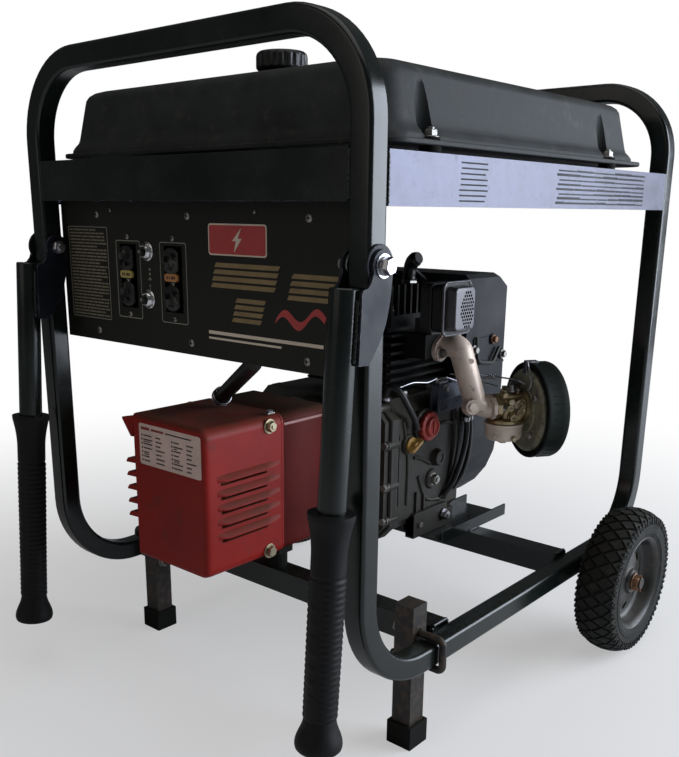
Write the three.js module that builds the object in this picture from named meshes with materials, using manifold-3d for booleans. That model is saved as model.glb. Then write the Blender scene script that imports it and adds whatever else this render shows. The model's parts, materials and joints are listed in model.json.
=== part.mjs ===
// Portable generator: a tubular cradle with fuel tank, control panel, alternator, engine, two wheels,
// two front feet and two fold-up lifting handles. Millimetres, +Z up. Inside this file X runs along the
// crossbars, Y runs from the panel end (0) to the wheel end, and Z is the height above the floor.
import * as THREE from "three";
import { ConvexGeometry } from "three/addons/geometries/ConvexGeometry.js";
import { mergeVertices } from "three/addons/utils/BufferGeometryUtils.js";
import Module from "manifold-3d";

const wasm = await Module();
wasm.setup();

// ---- driving dimensions ----
const TUBE = 25.4; // outer size of the square frame tube
const WIDTH = 528; // over the hoops
const LENGTH = 668; // over the hoops
const TOP = 765; // top of the hoops
const SILL = 110; // underside of the lower rails
const TOP_RADIUS = 87.3; // hoop corners, on the tube's centre line
const FOOT_RADIUS = 97.3; // where a leg turns into a lower rail
const RAIL_LOW = 596; // upper side rails
const RAIL_HIGH = 643;
const FRONT_BEAM_Y = 159; // cross-members, first face and height above the sill
const REAR_BEAM_Y = 451;
const BEAM = 30;
const BEARER_RIGHT = 64; // engine bearers, middle of each channel
const BEARER_LEFT = -184;
const WHEEL_Y = 525.5;
const WHEEL_R = 101.6;
const WHEEL_X = 308; // middle of each tyre
const TYRE_W = 56;
const AXLE_R = 8;
const POST_X = 225; // front feet
const POST_Y = 136;
const POST_TOP = 174;
const PIVOT_Z = 546; // handle pivots
const HANDLE_LEAN = THREE.MathUtils.degToRad(4.1);
const HANDLE_OFFSET = 28.3; // pivot to handle tube, centre to centre
const HANDLE_TUBE_R = 13.75;
const GRIP_SPAN = { right: [-221, -459], left: [-208, -484] }; // along each handle, below the pivot
const PANEL_FACE = 28; // front of the control panel
const PANEL_LOW = 437;
const PANEL_HIGH = 600;
const PANEL_HALF = 242;
const PANEL_TRAY = 16; // depth of the tray and of the box behind it
const PANEL_BOX = 62;
const CRANK_X = -63;
const CRANK_Z = 261;
const COVER_FRONT = 28; // alternator end cover
const SEAM_Y = 157;
const STATOR_END = 238;
const ALT_HALF_X = 73;
const ALT_HALF_Z = 91;
const CASE_FRONT = 300; // engine crankcase
const CASE_BACK = 481;
const CASE_RIGHT = 58;
const OIL_CAP = [386, 305];
const DIPSTICK = [352, 284];
const TANK_FLANGE_Z = 650;
const TANK_TOP = 738;
const TANK_BOLT_X = 249;
const TANK_BOLT_Y = [106, 486];
const CAP_Y = 168;
const INTAKE = new THREE.Vector3(134, 447, 326); // mouth of the intake elbow
const CARB_RISE = 7; // the carburettor sits above the middle of the air cleaner
const INTAKE_TURN = THREE.MathUtils.degToRad(-34);
const CLEAR = 0.3; // gap between neighbouring pieces

const HALF = WIDTH / 2;
const LEG_X = HALF - TUBE / 2;
const LEG_IN = HALF - TUBE;
const BEAM_TOP = SILL + BEAM;

// ---- materials ----
const finish = (color, roughness, metalness) =>
  new THREE.MeshStandardMaterial({ color, roughness, metalness, flatShading: true });
const MAT = {
  frame: finish(0x0f1311, 0.3, 0.2),
  rail: finish(0x1b2026, 0.4, 0.3),
  panel: finish(0x191916, 0.6, 0.1),
  tank: finish(0x1d211f, 0.75, 0.0),
  cap: finish(0x101211, 0.6, 0.0),
  grip: finish(0x141416, 0.7, 0.0),
  rubber: finish(0x161616, 0.85, 0.0),
  tyre: finish(0x1c1d1b, 0.9, 0.0),
  rim: finish(0x1a1b1a, 0.5, 0.2),
  steel: finish(0xa7a9a4, 0.4, 0.8),
  rusty: finish(0x4a4036, 0.6, 0.5),
  red: finish(0x8c2f28, 0.5, 0.0),
  lamination: finish(0x4b4842, 0.6, 0.6),
  copper: finish(0x8a4a25, 0.5, 0.6),
  casting: finish(0x5f5a50, 0.6, 0.6),
  darkCasting: finish(0x23241f, 0.7, 0.4),
  muffler: finish(0x2b2a27, 0.7, 0.5),
  shroud: finish(0x3b3d3d, 0.6, 0.3),
  intake: finish(0xb3a48c, 0.5, 0.5),
  brass: finish(0x8d7647, 0.45, 0.8),
  filter: finish(0x10261c, 0.85, 0.0),
  filterBase: finish(0xa59a83, 0.6, 0.4),
  redPlastic: finish(0xc83227, 0.45, 0.0),
  yellowPlastic: finish(0xd2a13a, 0.5, 0.0),
  blackPlastic: finish(0x111212, 0.6, 0.0),
};

// ---- solids ----
// A closed three.js geometry as a manifold solid with its faces pointing out.
function solid(geometry) {
  const bare = geometry.index ? geometry.toNonIndexed() : geometry.clone();
  bare.deleteAttribute("normal");
  bare.deleteAttribute("uv");
  const merged = mergeVertices(bare, 1e-4);
  const triVerts = new Uint32Array(merged.index.array);
  const vertProperties = merged.attributes.position.array;
  const made = new wasm.Manifold(new wasm.Mesh({ numProp: 3, vertProperties, triVerts }));
  if (made.volume() > 0) return made;
  for (let i = 0; i < triVerts.length; i += 3) {
    [triVerts[i + 1], triVerts[i + 2]] = [triVerts[i + 2], triVerts[i + 1]];
  }
  return new wasm.Manifold(new wasm.Mesh({ numProp: 3, vertProperties, triVerts }));
}

const join = (...solids) => solids.reduce((all, next) => all.add(next));
const cut = (body, ...tools) => tools.reduce((left, tool) => left.subtract(tool), body);

// Turns a geometry made along +Z so that it points along an axis.
function aim(geometry, axis) {
  if (axis === "x") geometry.rotateY(Math.PI / 2);
  if (axis === "y") geometry.rotateX(-Math.PI / 2);
  return geometry;
}

// Moves it so that its origin lies at from, measured along the axis, and at (u, v) across it.
function seat(geometry, axis, from, [u, v]) {
  const at = { x: [from, u, v], y: [u, from, v], z: [u, v, from] }[axis];
  return geometry.translate(...at);
}

function block(x0, x1, y0, y1, z0, z1) {
  const box = new THREE.BoxGeometry(x1 - x0, y1 - y0, z1 - z0);
  return solid(box.translate((x0 + x1) / 2, (y0 + y1) / 2, (z0 + z1) / 2));
}

function rod(axis, radius, from, to, across, sides = 16, radiusTo = radius) {
  const g = new THREE.CylinderGeometry(radiusTo, radius, to - from, sides);
  g.rotateX(Math.PI / 2).translate(0, 0, (to - from) / 2);
  return solid(seat(aim(g, axis), axis, from, across));
}

// A closed profile of [radius, height] points turned about an axis.
function turned(axis, profile, across, sides = 24) {
  const points = profile.map(([r, h]) => new THREE.Vector2(r, h));
  if (profile[0][0] > 0) points.push(points[0].clone());
  const g = new THREE.LatheGeometry(points, sides).rotateX(Math.PI / 2);
  return solid(seat(aim(g, axis), axis, 0, across));
}

function outline(points) {
  return new THREE.Shape(points.map(([a, b]) => new THREE.Vector2(a, b)));
}

// A flat shape in the YZ plane (for x), the XZ plane (for y) or the XY plane (for z), made thick.
function slab(axis, shape, from, to) {
  const g = new THREE.ExtrudeGeometry(shape, { depth: to - from, bevelEnabled: false, curveSegments: 6 });
  if (axis === "x") g.applyMatrix4(new THREE.Matrix4().set(0, 0, 1, 0, 1, 0, 0, 0, 0, 1, 0, 0, 0, 0, 0, 1));
  if (axis === "y") g.applyMatrix4(new THREE.Matrix4().set(1, 0, 0, 0, 0, 0, 1, 0, 0, 1, 0, 0, 0, 0, 0, 1));
  const at = { x: [from, 0, 0], y: [0, from, 0], z: [0, 0, from] }[axis];
  return solid(g.translate(...at));
}

const hull = (points) => solid(new ConvexGeometry(points.map((p) => new THREE.Vector3(...p))));

// Corner points of a rectangle with rounded corners, counter-clockwise.
function roundRect(x0, x1, y0, y1, radius, steps = 3) {
  const corners = [
    [x1 - radius, y0 + radius, -90],
    [x1 - radius, y1 - radius, 0],
    [x0 + radius, y1 - radius, 90],
    [x0 + radius, y0 + radius, 180],
  ];
  return corners.flatMap(([cx, cy, start]) =>
    Array.from({ length: steps + 1 }, (_, i) => {
      const a = THREE.MathUtils.degToRad(start + (90 * i) / steps);
      return [cx + radius * Math.cos(a), cy + radius * Math.sin(a)];
    }),
  );
}

// A polyline with its corners rounded off, sampled only where it bends.
class Route extends THREE.Curve {
  constructor(points, radii, stepsPerQuarter = 6) {
    super();
    this.stations = [];
    const p = points.map((q) => new THREE.Vector3(...q));
    const along = (a, b) => b.clone().sub(a).normalize();
    this.stations.push([p[0], along(p[0], p[1])]);
    for (let i = 1; i < p.length - 1; i++) {
      const into = along(p[i - 1], p[i]);
      const out = along(p[i], p[i + 1]);
      const bend = into.angleTo(out);
      const r = Array.isArray(radii) ? radii[i - 1] : radii;
      const start = p[i].clone().addScaledVector(into, -r * Math.tan(bend / 2));
      const side = out.clone().addScaledVector(into, -into.dot(out)).normalize();
      const centre = start.clone().addScaledVector(side, r);
      const steps = Math.max(2, Math.round((stepsPerQuarter * bend) / (Math.PI / 2)));
      for (let k = 0; k <= steps; k++) {
        const a = (bend * k) / steps;
        const at = centre.clone().addScaledVector(side, -r * Math.cos(a)).addScaledVector(into, r * Math.sin(a));
        const heading = into.clone().multiplyScalar(Math.cos(a)).addScaledVector(side, Math.sin(a));
        this.stations.push([at, heading]);
      }
    }
    const n = p.length;
    this.stations.push([p[n - 1], along(p[n - 2], p[n - 1])]);
    this.steps = this.stations.length - 1;
  }
  station(u) {
    return this.stations[Math.round(u * this.steps)];
  }
  getPointAt(u) {
    return this.station(u)[0].clone();
  }
  getPoint(u) {
    return this.getPointAt(u);
  }
  getTangentAt(u) {
    return this.station(u)[1].clone();
  }
  getSpacedPoints() {
    return this.stations.map(([at]) => at.clone());
  }
}

function sweep(section, route) {
  return solid(new THREE.ExtrudeGeometry(section, { steps: route.steps, extrudePath: route }));
}

const squareSection = (size, radius) =>
  outline(roundRect(-size / 2, size / 2, -size / 2, size / 2, radius, 1));

function roundSection(radius, sides = 12) {
  return outline(
    Array.from({ length: sides }, (_, i) => {
      const a = (2 * Math.PI * i) / sides;
      return [radius * Math.cos(a), radius * Math.sin(a)];
    }),
  );
}

function hexagon(axis, acrossFlats, from, to, across) {
  return rod(axis, acrossFlats / Math.sqrt(3), from, to, across, 6);
}

// ---- assembly ----
const generator = new THREE.Group();

function piece(name, body, material, parent = generator) {
  const mesh = body.getMesh();
  const g = new THREE.BufferGeometry();
  g.setAttribute("position", new THREE.BufferAttribute(new Float32Array(mesh.vertProperties), 3));
  g.setIndex(new THREE.BufferAttribute(new Uint32Array(mesh.triVerts), 1));
  const made = new THREE.Mesh(g, material);
  made.name = name;
  parent.add(made);
}

const mirrorX = (body) => body.mirror([1, 0, 0]);
const SIDES = [
  ["right", (body) => body, 1],
  ["left", mirrorX, -1],
];

// ---- frame ----
function hoop(toRear) {
  const y = toRear ? LENGTH - TUBE / 2 : TUBE / 2;
  const low = SILL + TUBE / 2;
  const high = TOP - TUBE / 2;
  const route = new Route(
    [
      [-LEG_X, LENGTH / 2, low],
      [-LEG_X, y, low],
      [-LEG_X, y, high],
      [LEG_X, y, high],
      [LEG_X, y, low],
      [LEG_X, LENGTH / 2, low],
    ],
    [FOOT_RADIUS, TOP_RADIUS, TOP_RADIUS, FOOT_RADIUS],
  );
  return sweep(squareSection(TUBE, 3.2), route);
}

// A rolled channel in the plane across x, open towards -x, with a top flange and a shorter lip below.
function channelOutline(face, low, high, flange, lip, gauge = 2.5) {
  return outline([
    [face, low],
    [face, high],
    [face - flange, high],
    [face - flange, high - gauge],
    [face - gauge, high - gauge],
    [face - gauge, low + gauge],
    [face - lip, low + gauge],
    [face - lip, low],
  ]);
}

function buildFrame() {
  const pivotHoles = rod("x", 5.4, -HALF - 5, HALF + 5, [TUBE / 2, PIVOT_Z], 12);
  piece("front_hoop", cut(hoop(false), pivotHoles), MAT.frame);
  piece("rear_hoop", hoop(true), MAT.frame);

  const sideRail = slab("y", channelOutline(HALF, RAIL_LOW, RAIL_HIGH, 30, 20), TUBE, LENGTH - TUBE);
  SIDES.forEach(([side, turn]) => piece("side_rail_" + side, turn(sideRail), MAT.rail));

  const cross = channelOutline(-1, PANEL_HIGH, RAIL_HIGH + 2, 23, 23);
  const frontRail = slab("x", cross, -LEG_IN, LEG_IN).mirror([0, 1, 0]);
  piece("front_cross_rail", frontRail, MAT.frame);
  piece("rear_cross_rail", frontRail.mirror([0, 1, 0]).translate([0, LENGTH, 0]), MAT.frame);

  const beam = (y) => {
    const skin = block(-LEG_IN, LEG_IN, y, y + BEAM, SILL, BEAM_TOP);
    return cut(skin, block(-HALF, HALF, y + 2.5, y + BEAM - 2.5, SILL - 1, BEAM_TOP - 2.5));
  };
  piece("front_crossmember", beam(FRONT_BEAM_Y), MAT.frame);

  // engine bearers: open channels welded across the rear cross-member, with their lips turned up
  const bearer = (x) => {
    const skin = block(x - 36, x + 36, 386, 556, BEAM_TOP, BEAM_TOP + 17);
    return cut(skin, block(x - 33.5, x + 33.5, 380, 560, BEAM_TOP + 3, BEAM_TOP + 20));
  };
  const bearers = [bearer(BEARER_RIGHT), bearer(BEARER_LEFT)];
  piece("rear_crossmember", join(beam(REAR_BEAM_Y), ...bearers), MAT.frame);
}

// ---- front feet ----
function buildFeet() {
  const half = TUBE / 2;
  const square = (size, z0, z1) =>
    block(POST_X - size, POST_X + size, POST_Y - size, POST_Y + size, z0, z1);
  const armsZ = [SILL - 5.5, SILL + TUBE + 5.5];
  const bores = armsZ.map((z) => rod("x", 5.4, POST_X - 20, POST_X + 20, [POST_Y, z], 12));
  const post = cut(square(half, 6.3, POST_TOP), square(half - 2, 0, POST_TOP - 3), ...bores);
  const foot = cut(square(16.5, 0, 28), square(half + CLEAR, 6, 30));

  const reach = HALF + 5.5;
  const inner = POST_X - half - 12;
  const route = new Route(
    [
      [inner, POST_Y, armsZ[0]],
      [reach, POST_Y, armsZ[0]],
      [reach, POST_Y, armsZ[1]],
      [inner, POST_Y, armsZ[1]],
    ],
    7,
    3,
  );
  const nuts = armsZ.map((z) => hexagon("x", 14, POST_X - half - 7, POST_X - half - CLEAR, [POST_Y, z]));
  const clamp = join(sweep(roundSection(4.4, 8), route), ...nuts);

  SIDES.forEach(([side, turn]) => {
    piece("foot_post_" + side, turn(post), MAT.rusty);
    piece("foot_pad_" + side, turn(foot), MAT.rubber);
    piece("foot_ubolt_" + side, turn(clamp), MAT.rusty);
  });
}

// ---- lifting handles ----
// Built about the pivot, with the tube hanging along -z and the leg between the ears.
function earShape() {
  const shape = new THREE.Shape();
  shape.moveTo(13.6, -12.8);
  shape.absarc(0, 0, 14.5, -0.3, Math.PI + 0.45, false);
  shape.lineTo(-15, -16);
  shape.lineTo(-27, -22);
  shape.lineTo(-26, -86);
  shape.lineTo(-12.5, -86);
  shape.quadraticCurveTo(13, -60, 13.6, -12.8);
  return shape;
}

function handleTube(gripEnd) {
  const axis = [0, -HANDLE_OFFSET];
  const ears = [16, -19].map((x) => slab("x", earShape(), x, x + 3));
  const web = block(-16.2, 16.2, -27, -17, -86, -24);
  const outer = rod("z", HANDLE_TUBE_R, gripEnd + 8, -20, axis, 16);
  const bore = rod("z", HANDLE_TUBE_R - 2, gripEnd, -18, axis, 8);
  const pinHole = rod("x", 5.4, -30, 30, [0, 0], 12);
  return cut(join(outer, web, ...ears), bore, pinHole);
}

function gripProfile([top, end]) {
  const r = HANDLE_TUBE_R + CLEAR;
  return [
    [r, end + 6],
    [r, top],
    [22, top],
    [23.5, top - 10],
    [17.5, top - 40],
    [16.2, end + 34],
    [23.5, end + 16],
    [23.5, end + 4],
    [20, end],
    [8, end],
    [8, end + 6],
  ];
}

// Bolt through the leg: a hexagon head, a spring washer, a wide washer, then a small washer and nut inside.
function pivotBolt() {
  const leg = TUBE / 2;
  const at = [0, 0];
  const shank = rod("x", 4.8, -leg - 17, leg + 14, at, 12);
  const wide = rod("x", 18.5, leg + CLEAR, leg + 3, at, 20);
  const small = rod("x", 11.5, -leg - 3, -leg - CLEAR, at, 12);
  const spring = rod("x", 8.4, leg + 6.7, leg + 9, at, 12);
  const head = hexagon("x", 14.3, leg + 8.9, leg + 15.4, at);
  const nut = hexagon("x", 14.3, -leg - 14, -leg - 6.7, at);
  return join(shank, wide, small, spring, head, nut);
}

function buildHandles() {
  const bolt = pivotBolt();
  SIDES.forEach(([side, turn, sign]) => {
    const span = GRIP_SPAN[side];
    const grip = turned("z", gripProfile(span), [0, -HANDLE_OFFSET], 16);
    const pivot = new THREE.Group();
    pivot.position.set(sign * LEG_X, TUBE / 2, PIVOT_Z);
    generator.add(pivot);
    piece("handle_bolt_" + side, turn(bolt), MAT.steel, pivot);
    const hanging = new THREE.Group();
    hanging.rotation.x = -HANDLE_LEAN;
    pivot.add(hanging);
    piece("handle_tube_" + side, turn(handleTube(span[1])), MAT.frame, hanging);
    piece("handle_grip_" + side, turn(grip), MAT.grip, hanging);
  });
}

// ---- wheels ----
function buildWheels() {
  const across = [WHEEL_Y, WHEEL_R];
  const half = TYRE_W / 2;
  const tyreProfile = [
    [62, -22],
    [82, -half],
    [94, -half + 4],
    [WHEEL_R, -11],
    [WHEEL_R, 11],
    [94, half - 4],
    [82, half],
    [62, 22],
  ];
  const rimProfile = [
    [AXLE_R + CLEAR, -24],
    [17, -24],
    [19, -6],
    [61.7, -20],
    [61.7, 20],
    [56, 18],
    [50, 2],
    [17, 15],
    [AXLE_R + CLEAR, 15],
  ];
  const slots = Array.from({ length: 8 }, (_, i) => {
    const a = (2 * Math.PI * i) / 8;
    const reach = 38;
    return rod("x", 6, -40, 40, [reach * Math.cos(a), reach * Math.sin(a)], 6);
  });
  const rim = cut(turned("x", rimProfile, [0, 0], 24), ...slots).translate([WHEEL_X, ...across]);
  const tyre = turned("x", tyreProfile, across, 32).translate([WHEEL_X, 0, 0]);
  SIDES.forEach(([side, turn]) => {
    piece("wheel_rim_" + side, turn(rim), MAT.rim);
    piece("tyre_" + side, turn(tyre), MAT.tyre);
  });

  const hubEnd = WHEEL_X + 15 + CLEAR;
  const saddles = [1, -1].map((s) => {
    const x = s * LEG_X;
    return block(x - 11, x + 11, WHEEL_Y - 12, WHEEL_Y + 12, WHEEL_R - 4, SILL);
  });
  const collars = [1, -1].flatMap((s) => {
    const spans = [
      [WHEEL_X - 24 - CLEAR - 5, WHEEL_X - 24 - CLEAR, 13],
      [hubEnd, hubEnd + 2, 12],
    ];
    return spans.map(([a, b, r]) => rod("x", r, Math.min(s * a, s * b), Math.max(s * a, s * b), across, 12));
  });
  const nuts = [
    hexagon("x", 19, hubEnd + 1.5, hubEnd + 9, across),
    hexagon("x", 19, -hubEnd - 9, -hubEnd - 1.5, across),
  ];
  const shaft = rod("x", AXLE_R, -hubEnd - 12, hubEnd + 12, across, 12);
  piece("axle", join(shaft, ...saddles, ...collars, ...nuts), MAT.rusty);
}

// ---- fuel tank ----
function tankBody(inset) {
  const levels = [
    [243, 45, 578, 30, TANK_FLANGE_Z + 3],
    [232, 52, 572, 28, 713],
    [224, 60, 564, 26, 722],
    [214, 70, 554, 24, 727],
    [120, 132, 486, 30, TANK_TOP],
  ];
  return hull(
    levels.flatMap(([half, y0, y1, r, z], i) => {
      const drop = i > 1 ? inset : 0;
      const ring = roundRect(-half + inset, half - inset, y0 + inset, y1 - inset, r, 2);
      return ring.map(([x, y]) => [x, y, z - drop]);
    }),
  );
}

function tankPan(inset) {
  const rings = [
    [216, 66, 560, 30, TANK_FLANGE_Z + 3 + inset],
    [204, 78, 548, 30, 606 + inset],
  ];
  return hull(
    rings.flatMap(([half, y0, y1, r, z]) =>
      roundRect(-half + inset, half - inset, y0 + inset, y1 - inset, r, 2).map(([x, y]) => [x, y, z]),
    ),
  );
}

function buildTank() {
  const rim = outline(roundRect(-258, 258, 36, 588, 30, 3));
  const flange = slab("z", rim, TANK_FLANGE_Z, TANK_FLANGE_Z + 5);
  const boltPlaces = [1, -1].flatMap((s) => TANK_BOLT_Y.map((y) => [s, y]));
  const grooves = (extra) =>
    boltPlaces.map(([s, y]) => rod("z", 12 + extra, TANK_FLANGE_Z + 5, 714 + extra, [s * 248, y], 8, 12 + extra));
  const neckAt = [0, CAP_Y];
  const neck = rod("z", 24, TANK_TOP - 8, TANK_TOP + 4, neckAt, 24);
  const outside = join(cut(tankBody(0), ...grooves(0)), flange, tankPan(0), neck);
  const inside = join(cut(tankBody(2), ...grooves(2.5)), tankPan(2));
  const filler = rod("z", 20, TANK_TOP - 12, TANK_TOP + 8, neckAt, 20);
  const boltHoles = boltPlaces.map(([s, y]) => rod("z", 3.5, 640, 660, [s * TANK_BOLT_X, y], 8));
  piece("fuel_tank", cut(outside, inside, filler, ...boltHoles), MAT.tank);

  const capBase = TANK_TOP + 4 + CLEAR;
  const capProfile = [
    [0, capBase],
    [27, capBase],
    [29, capBase + 2],
    [29, capBase + 15],
    [26, capBase + 19],
    [10, capBase + 20],
    [0, capBase + 20],
  ];
  const notches = Array.from({ length: 12 }, (_, i) => {
    const a = (2 * Math.PI * i) / 12;
    return rod("z", 3, capBase - 1, capBase + 24, [30.5 * Math.cos(a), CAP_Y + 30.5 * Math.sin(a)], 6);
  });
  piece("fuel_cap", cut(turned("z", capProfile, neckAt, 24), ...notches), MAT.cap);
}

// ---- control panel ----
const OUTLETS = [
  ["outlet_left", -112],
  ["outlet_right", -32],
];
const BREAKERS = [
  ["breaker_button_upper", 546],
  ["breaker_button_lower", 493],
];
const BREAKER_X = -76;
const OUTLET_Z = 517;

function buildPanel() {
  const tray = (inset) => {
    const half = PANEL_HALF - inset;
    const back = PANEL_FACE + PANEL_TRAY - inset;
    return block(-half, half, PANEL_FACE + inset, back, PANEL_LOW + inset, PANEL_HIGH - inset);
  };
  const box = (inset) => {
    const front = PANEL_FACE + PANEL_TRAY - 1 - inset;
    const back = PANEL_FACE + PANEL_BOX - inset;
    return block(-150 + inset, 110 - inset, front, back, PANEL_LOW + inset, PANEL_HIGH - inset);
  };
  const shell = join(tray(0), box(0));
  const hollow = join(tray(2), box(2));
  const wireSlot = block(30, 58, PANEL_FACE + 35, PANEL_FACE + 59, PANEL_LOW - 1, PANEL_LOW + 3);
  const windows = OUTLETS.map(([, x]) => block(x - 15, x + 15, 20, 40, OUTLET_Z - 36, OUTLET_Z + 36));
  const buttonHoles = BREAKERS.map(([, z]) => rod("y", 5.4, 20, 40, [BREAKER_X, z], 12));
  piece("control_panel", cut(shell, hollow, wireSlot, ...windows, ...buttonHoles), MAT.panel);

  OUTLETS.forEach(([name, x]) => {
    const body = block(x - 14.5, x + 14.5, PANEL_FACE - 2.5, PANEL_FACE + 26, OUTLET_Z - 35.5, OUTLET_Z + 35.5);
    const faces = [-20, 20].map((dz) =>
      slab("y", outline(roundRect(x - 12, x + 12, OUTLET_Z + dz - 14, OUTLET_Z + dz + 14, 6, 2)), 24, 27),
    );
    piece(name, join(body, ...faces), MAT.blackPlastic);
  });
  BREAKERS.forEach(([name, z]) => {
    const stem = rod("y", 5, PANEL_FACE - 12, PANEL_FACE + 12, [BREAKER_X, z], 12);
    piece(name, stem, MAT.blackPlastic);
  });
}

// ---- alternator ----
// Rectangle about the crank axis with its four long edges cut off.
function chamfered(halfX, halfZ, corner) {
  const points = [
    [halfX, -halfZ + corner],
    [halfX, halfZ - corner],
    [halfX - corner, halfZ],
    [-halfX + corner, halfZ],
    [-halfX, halfZ - corner],
    [-halfX, -halfZ + corner],
    [-halfX + corner, -halfZ],
    [halfX - corner, -halfZ],
  ];
  return outline(points.map(([x, z]) => [CRANK_X + x, CRANK_Z + z]));
}

// The cover's front left edge is cut off across the corner.
function coverCorner(inset) {
  const x = CRANK_X - ALT_HALF_X;
  const y = COVER_FRONT;
  const wedge = outline([
    [x - 5, y - 5],
    [x + 17 + inset, y - 5],
    [x - 5, y + 17 + inset],
  ]);
  return slab("z", wedge, CRANK_Z - ALT_HALF_Z - 5, CRANK_Z + ALT_HALF_Z + 5);
}

function endCover() {
  const box = slab("y", chamfered(ALT_HALF_X, ALT_HALF_Z, 13), COVER_FRONT, SEAM_Y);
  const room = slab("y", chamfered(ALT_HALF_X - 3, ALT_HALF_Z - 3, 12), COVER_FRONT + 3, SEAM_Y + 1);
  const left = CRANK_X - ALT_HALF_X;
  const top = CRANK_Z + ALT_HALF_Z;
  const ear = outline([
    [left + 8, top - 1],
    [left - 17, top - 9],
    [left - 17, top - 12],
    [left - 1, top - 32],
    [left + 8, top - 32],
  ]);
  const skin = join(cut(box, coverCorner(0)), slab("y", ear, 36, 41));
  const hollow = cut(room, coverCorner(4.5));
  const louvres = [];
  const slots = [];
  [-1, 1].forEach((s) => {
    for (let i = 0; i < 5; i++) {
      const z = 288 - 17.6 * i;
      const face = CRANK_X + s * ALT_HALF_X;
      const hood = outline([
        [face - s, z + 9],
        [face + s * 7, z + 1],
        [face + s * 7, z - 1],
        [face - s, z + 1],
      ]);
      louvres.push(slab("y", hood, s > 0 ? 46 : 31, 150));
      slots.push(block(face - 6, face + 6, 52, 146, z - 7, z));
    }
  });
  return cut(join(skin, ...louvres), hollow, ...slots);
}

function buildAlternator() {
  const axis = [CRANK_X, CRANK_Z];
  piece("alternator_end_cover", endCover(), MAT.red);

  const wrapOuter = slab("y", chamfered(ALT_HALF_X - 1, ALT_HALF_Z - 1, 13), SEAM_Y + CLEAR, STATOR_END);
  const wrapInner = slab("y", chamfered(ALT_HALF_X - 4, ALT_HALF_Z - 4, 12), SEAM_Y - 1, STATOR_END + 1);
  piece("alternator_housing", cut(wrapOuter, wrapInner), MAT.red);

  const coreSkin = slab("y", chamfered(ALT_HALF_X - 4.5, ALT_HALF_Z - 4.5, 12), SEAM_Y + 6, STATOR_END - 6);
  piece("stator_core", cut(coreSkin, rod("y", 49, SEAM_Y, STATOR_END, axis, 24)), MAT.lamination);

  const rotorProfile = [
    [12.4, 74],
    [52, 74],
    [52, 86],
    [24, 90],
    [24, 152],
    [47, 158],
    [47, 240],
    [12.4, 246],
  ];
  piece("rotor", turned("y", rotorProfile, axis, 20), MAT.copper);

  const bell = [
    [16, 262],
    [76, STATOR_END + CLEAR],
    [84, STATOR_END + CLEAR],
    [84, 262],
    [70, 284],
    [78, CASE_FRONT - CLEAR],
    [16, CASE_FRONT - CLEAR],
  ];
  piece("engine_adapter", turned("y", bell, axis, 20), MAT.casting);

  const rest = CRANK_Z - ALT_HALF_Z;
  const saddle = block(CRANK_X - 60, CRANK_X + 60, SEAM_Y + 3, SEAM_Y + 29, rest - 9, rest - CLEAR);
  const isolators = [-44, 44].map((dx) => rod("z", 13, BEAM_TOP, rest - 8, [CRANK_X + dx, FRONT_BEAM_Y + 15], 16));
  piece("alternator_mount", join(saddle, ...isolators), MAT.rubber);

  const conduitRoute = new Route(
    [
      [44, 76, PANEL_LOW - CLEAR],
      [44, 76, 428],
      [-76, 131, 362.6],
    ],
    9,
    5,
  );
  piece("wiring_conduit", sweep(roundSection(9.5, 10), conduitRoute), MAT.blackPlastic);
}

// ---- engine ----
function crankcase() {
  const left = CRANK_X - 118;
  const walls = hull(
    [CASE_FRONT, CASE_BACK].flatMap((y) => [
      [left + 24, y, 158],
      [CASE_RIGHT - 16, y, 158],
      [CASE_RIGHT, y, 176],
      [CASE_RIGHT, y, 322],
      [CASE_RIGHT - 22, y, 345],
      [left + 22, y, 345],
      [left, y, 322],
      [left, y, 182],
    ]),
  );
  const footBase = BEAM_TOP + 3 + CLEAR;
  const rightFoot = join(
    block(BEARER_RIGHT - 33, BEARER_RIGHT - 2, 394, 466, footBase, 168),
    block(CASE_RIGHT - 8, CASE_RIGHT + 6, 364, 447, footBase, 179),
  );
  const leftFoot = block(BEARER_LEFT + 8, BEARER_LEFT + 33, 394, 466, footBase, 172);
  const boss = rod("x", 19, CASE_RIGHT - 4, CASE_RIGHT + 6, OIL_CAP, 20);
  const lowBoss = rod("x", 11, CASE_RIGHT - 4, CASE_RIGHT + 4, DIPSTICK, 16);
  const drain = rod("x", 13, CASE_RIGHT - 4, CASE_RIGHT + 3, [411, 222], 16);
  const port = rod("x", 11.4, CASE_RIGHT - 4, CASE_RIGHT + 8, [421, 252], 16);
  const cavity = turned(
    "y",
    [
      [0, CASE_FRONT + 8],
      [76, CASE_FRONT + 8],
      [76, CASE_BACK - 8],
      [0, CASE_BACK - 8],
    ],
    [CRANK_X, CRANK_Z],
    24,
  );
  const bearings = rod("y", 12.8, CASE_FRONT - 5, CASE_BACK + 5, [CRANK_X, CRANK_Z], 24);
  return cut(join(walls, rightFoot, leftFoot, boss, lowBoss, drain, port), cavity, bearings);
}

function cylinderBlock() {
  const x = -45;
  const y = 412;
  const core = block(x - 55, x + 55, y - 50, y + 50, 345 + CLEAR, 440);
  const fins = Array.from({ length: 7 }, (_, i) => {
    const z = 356 + 12 * i;
    return block(x - 76, x + 76, y - 68, y + 64, z, z + 3.4);
  });
  const port = block(x + 40, x + 108, y - 34, y + 30, 398, 431);
  const bore = rod("z", 36, 300, 438, [x, y], 24);
  return cut(join(core, port, ...fins), bore);
}

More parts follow.
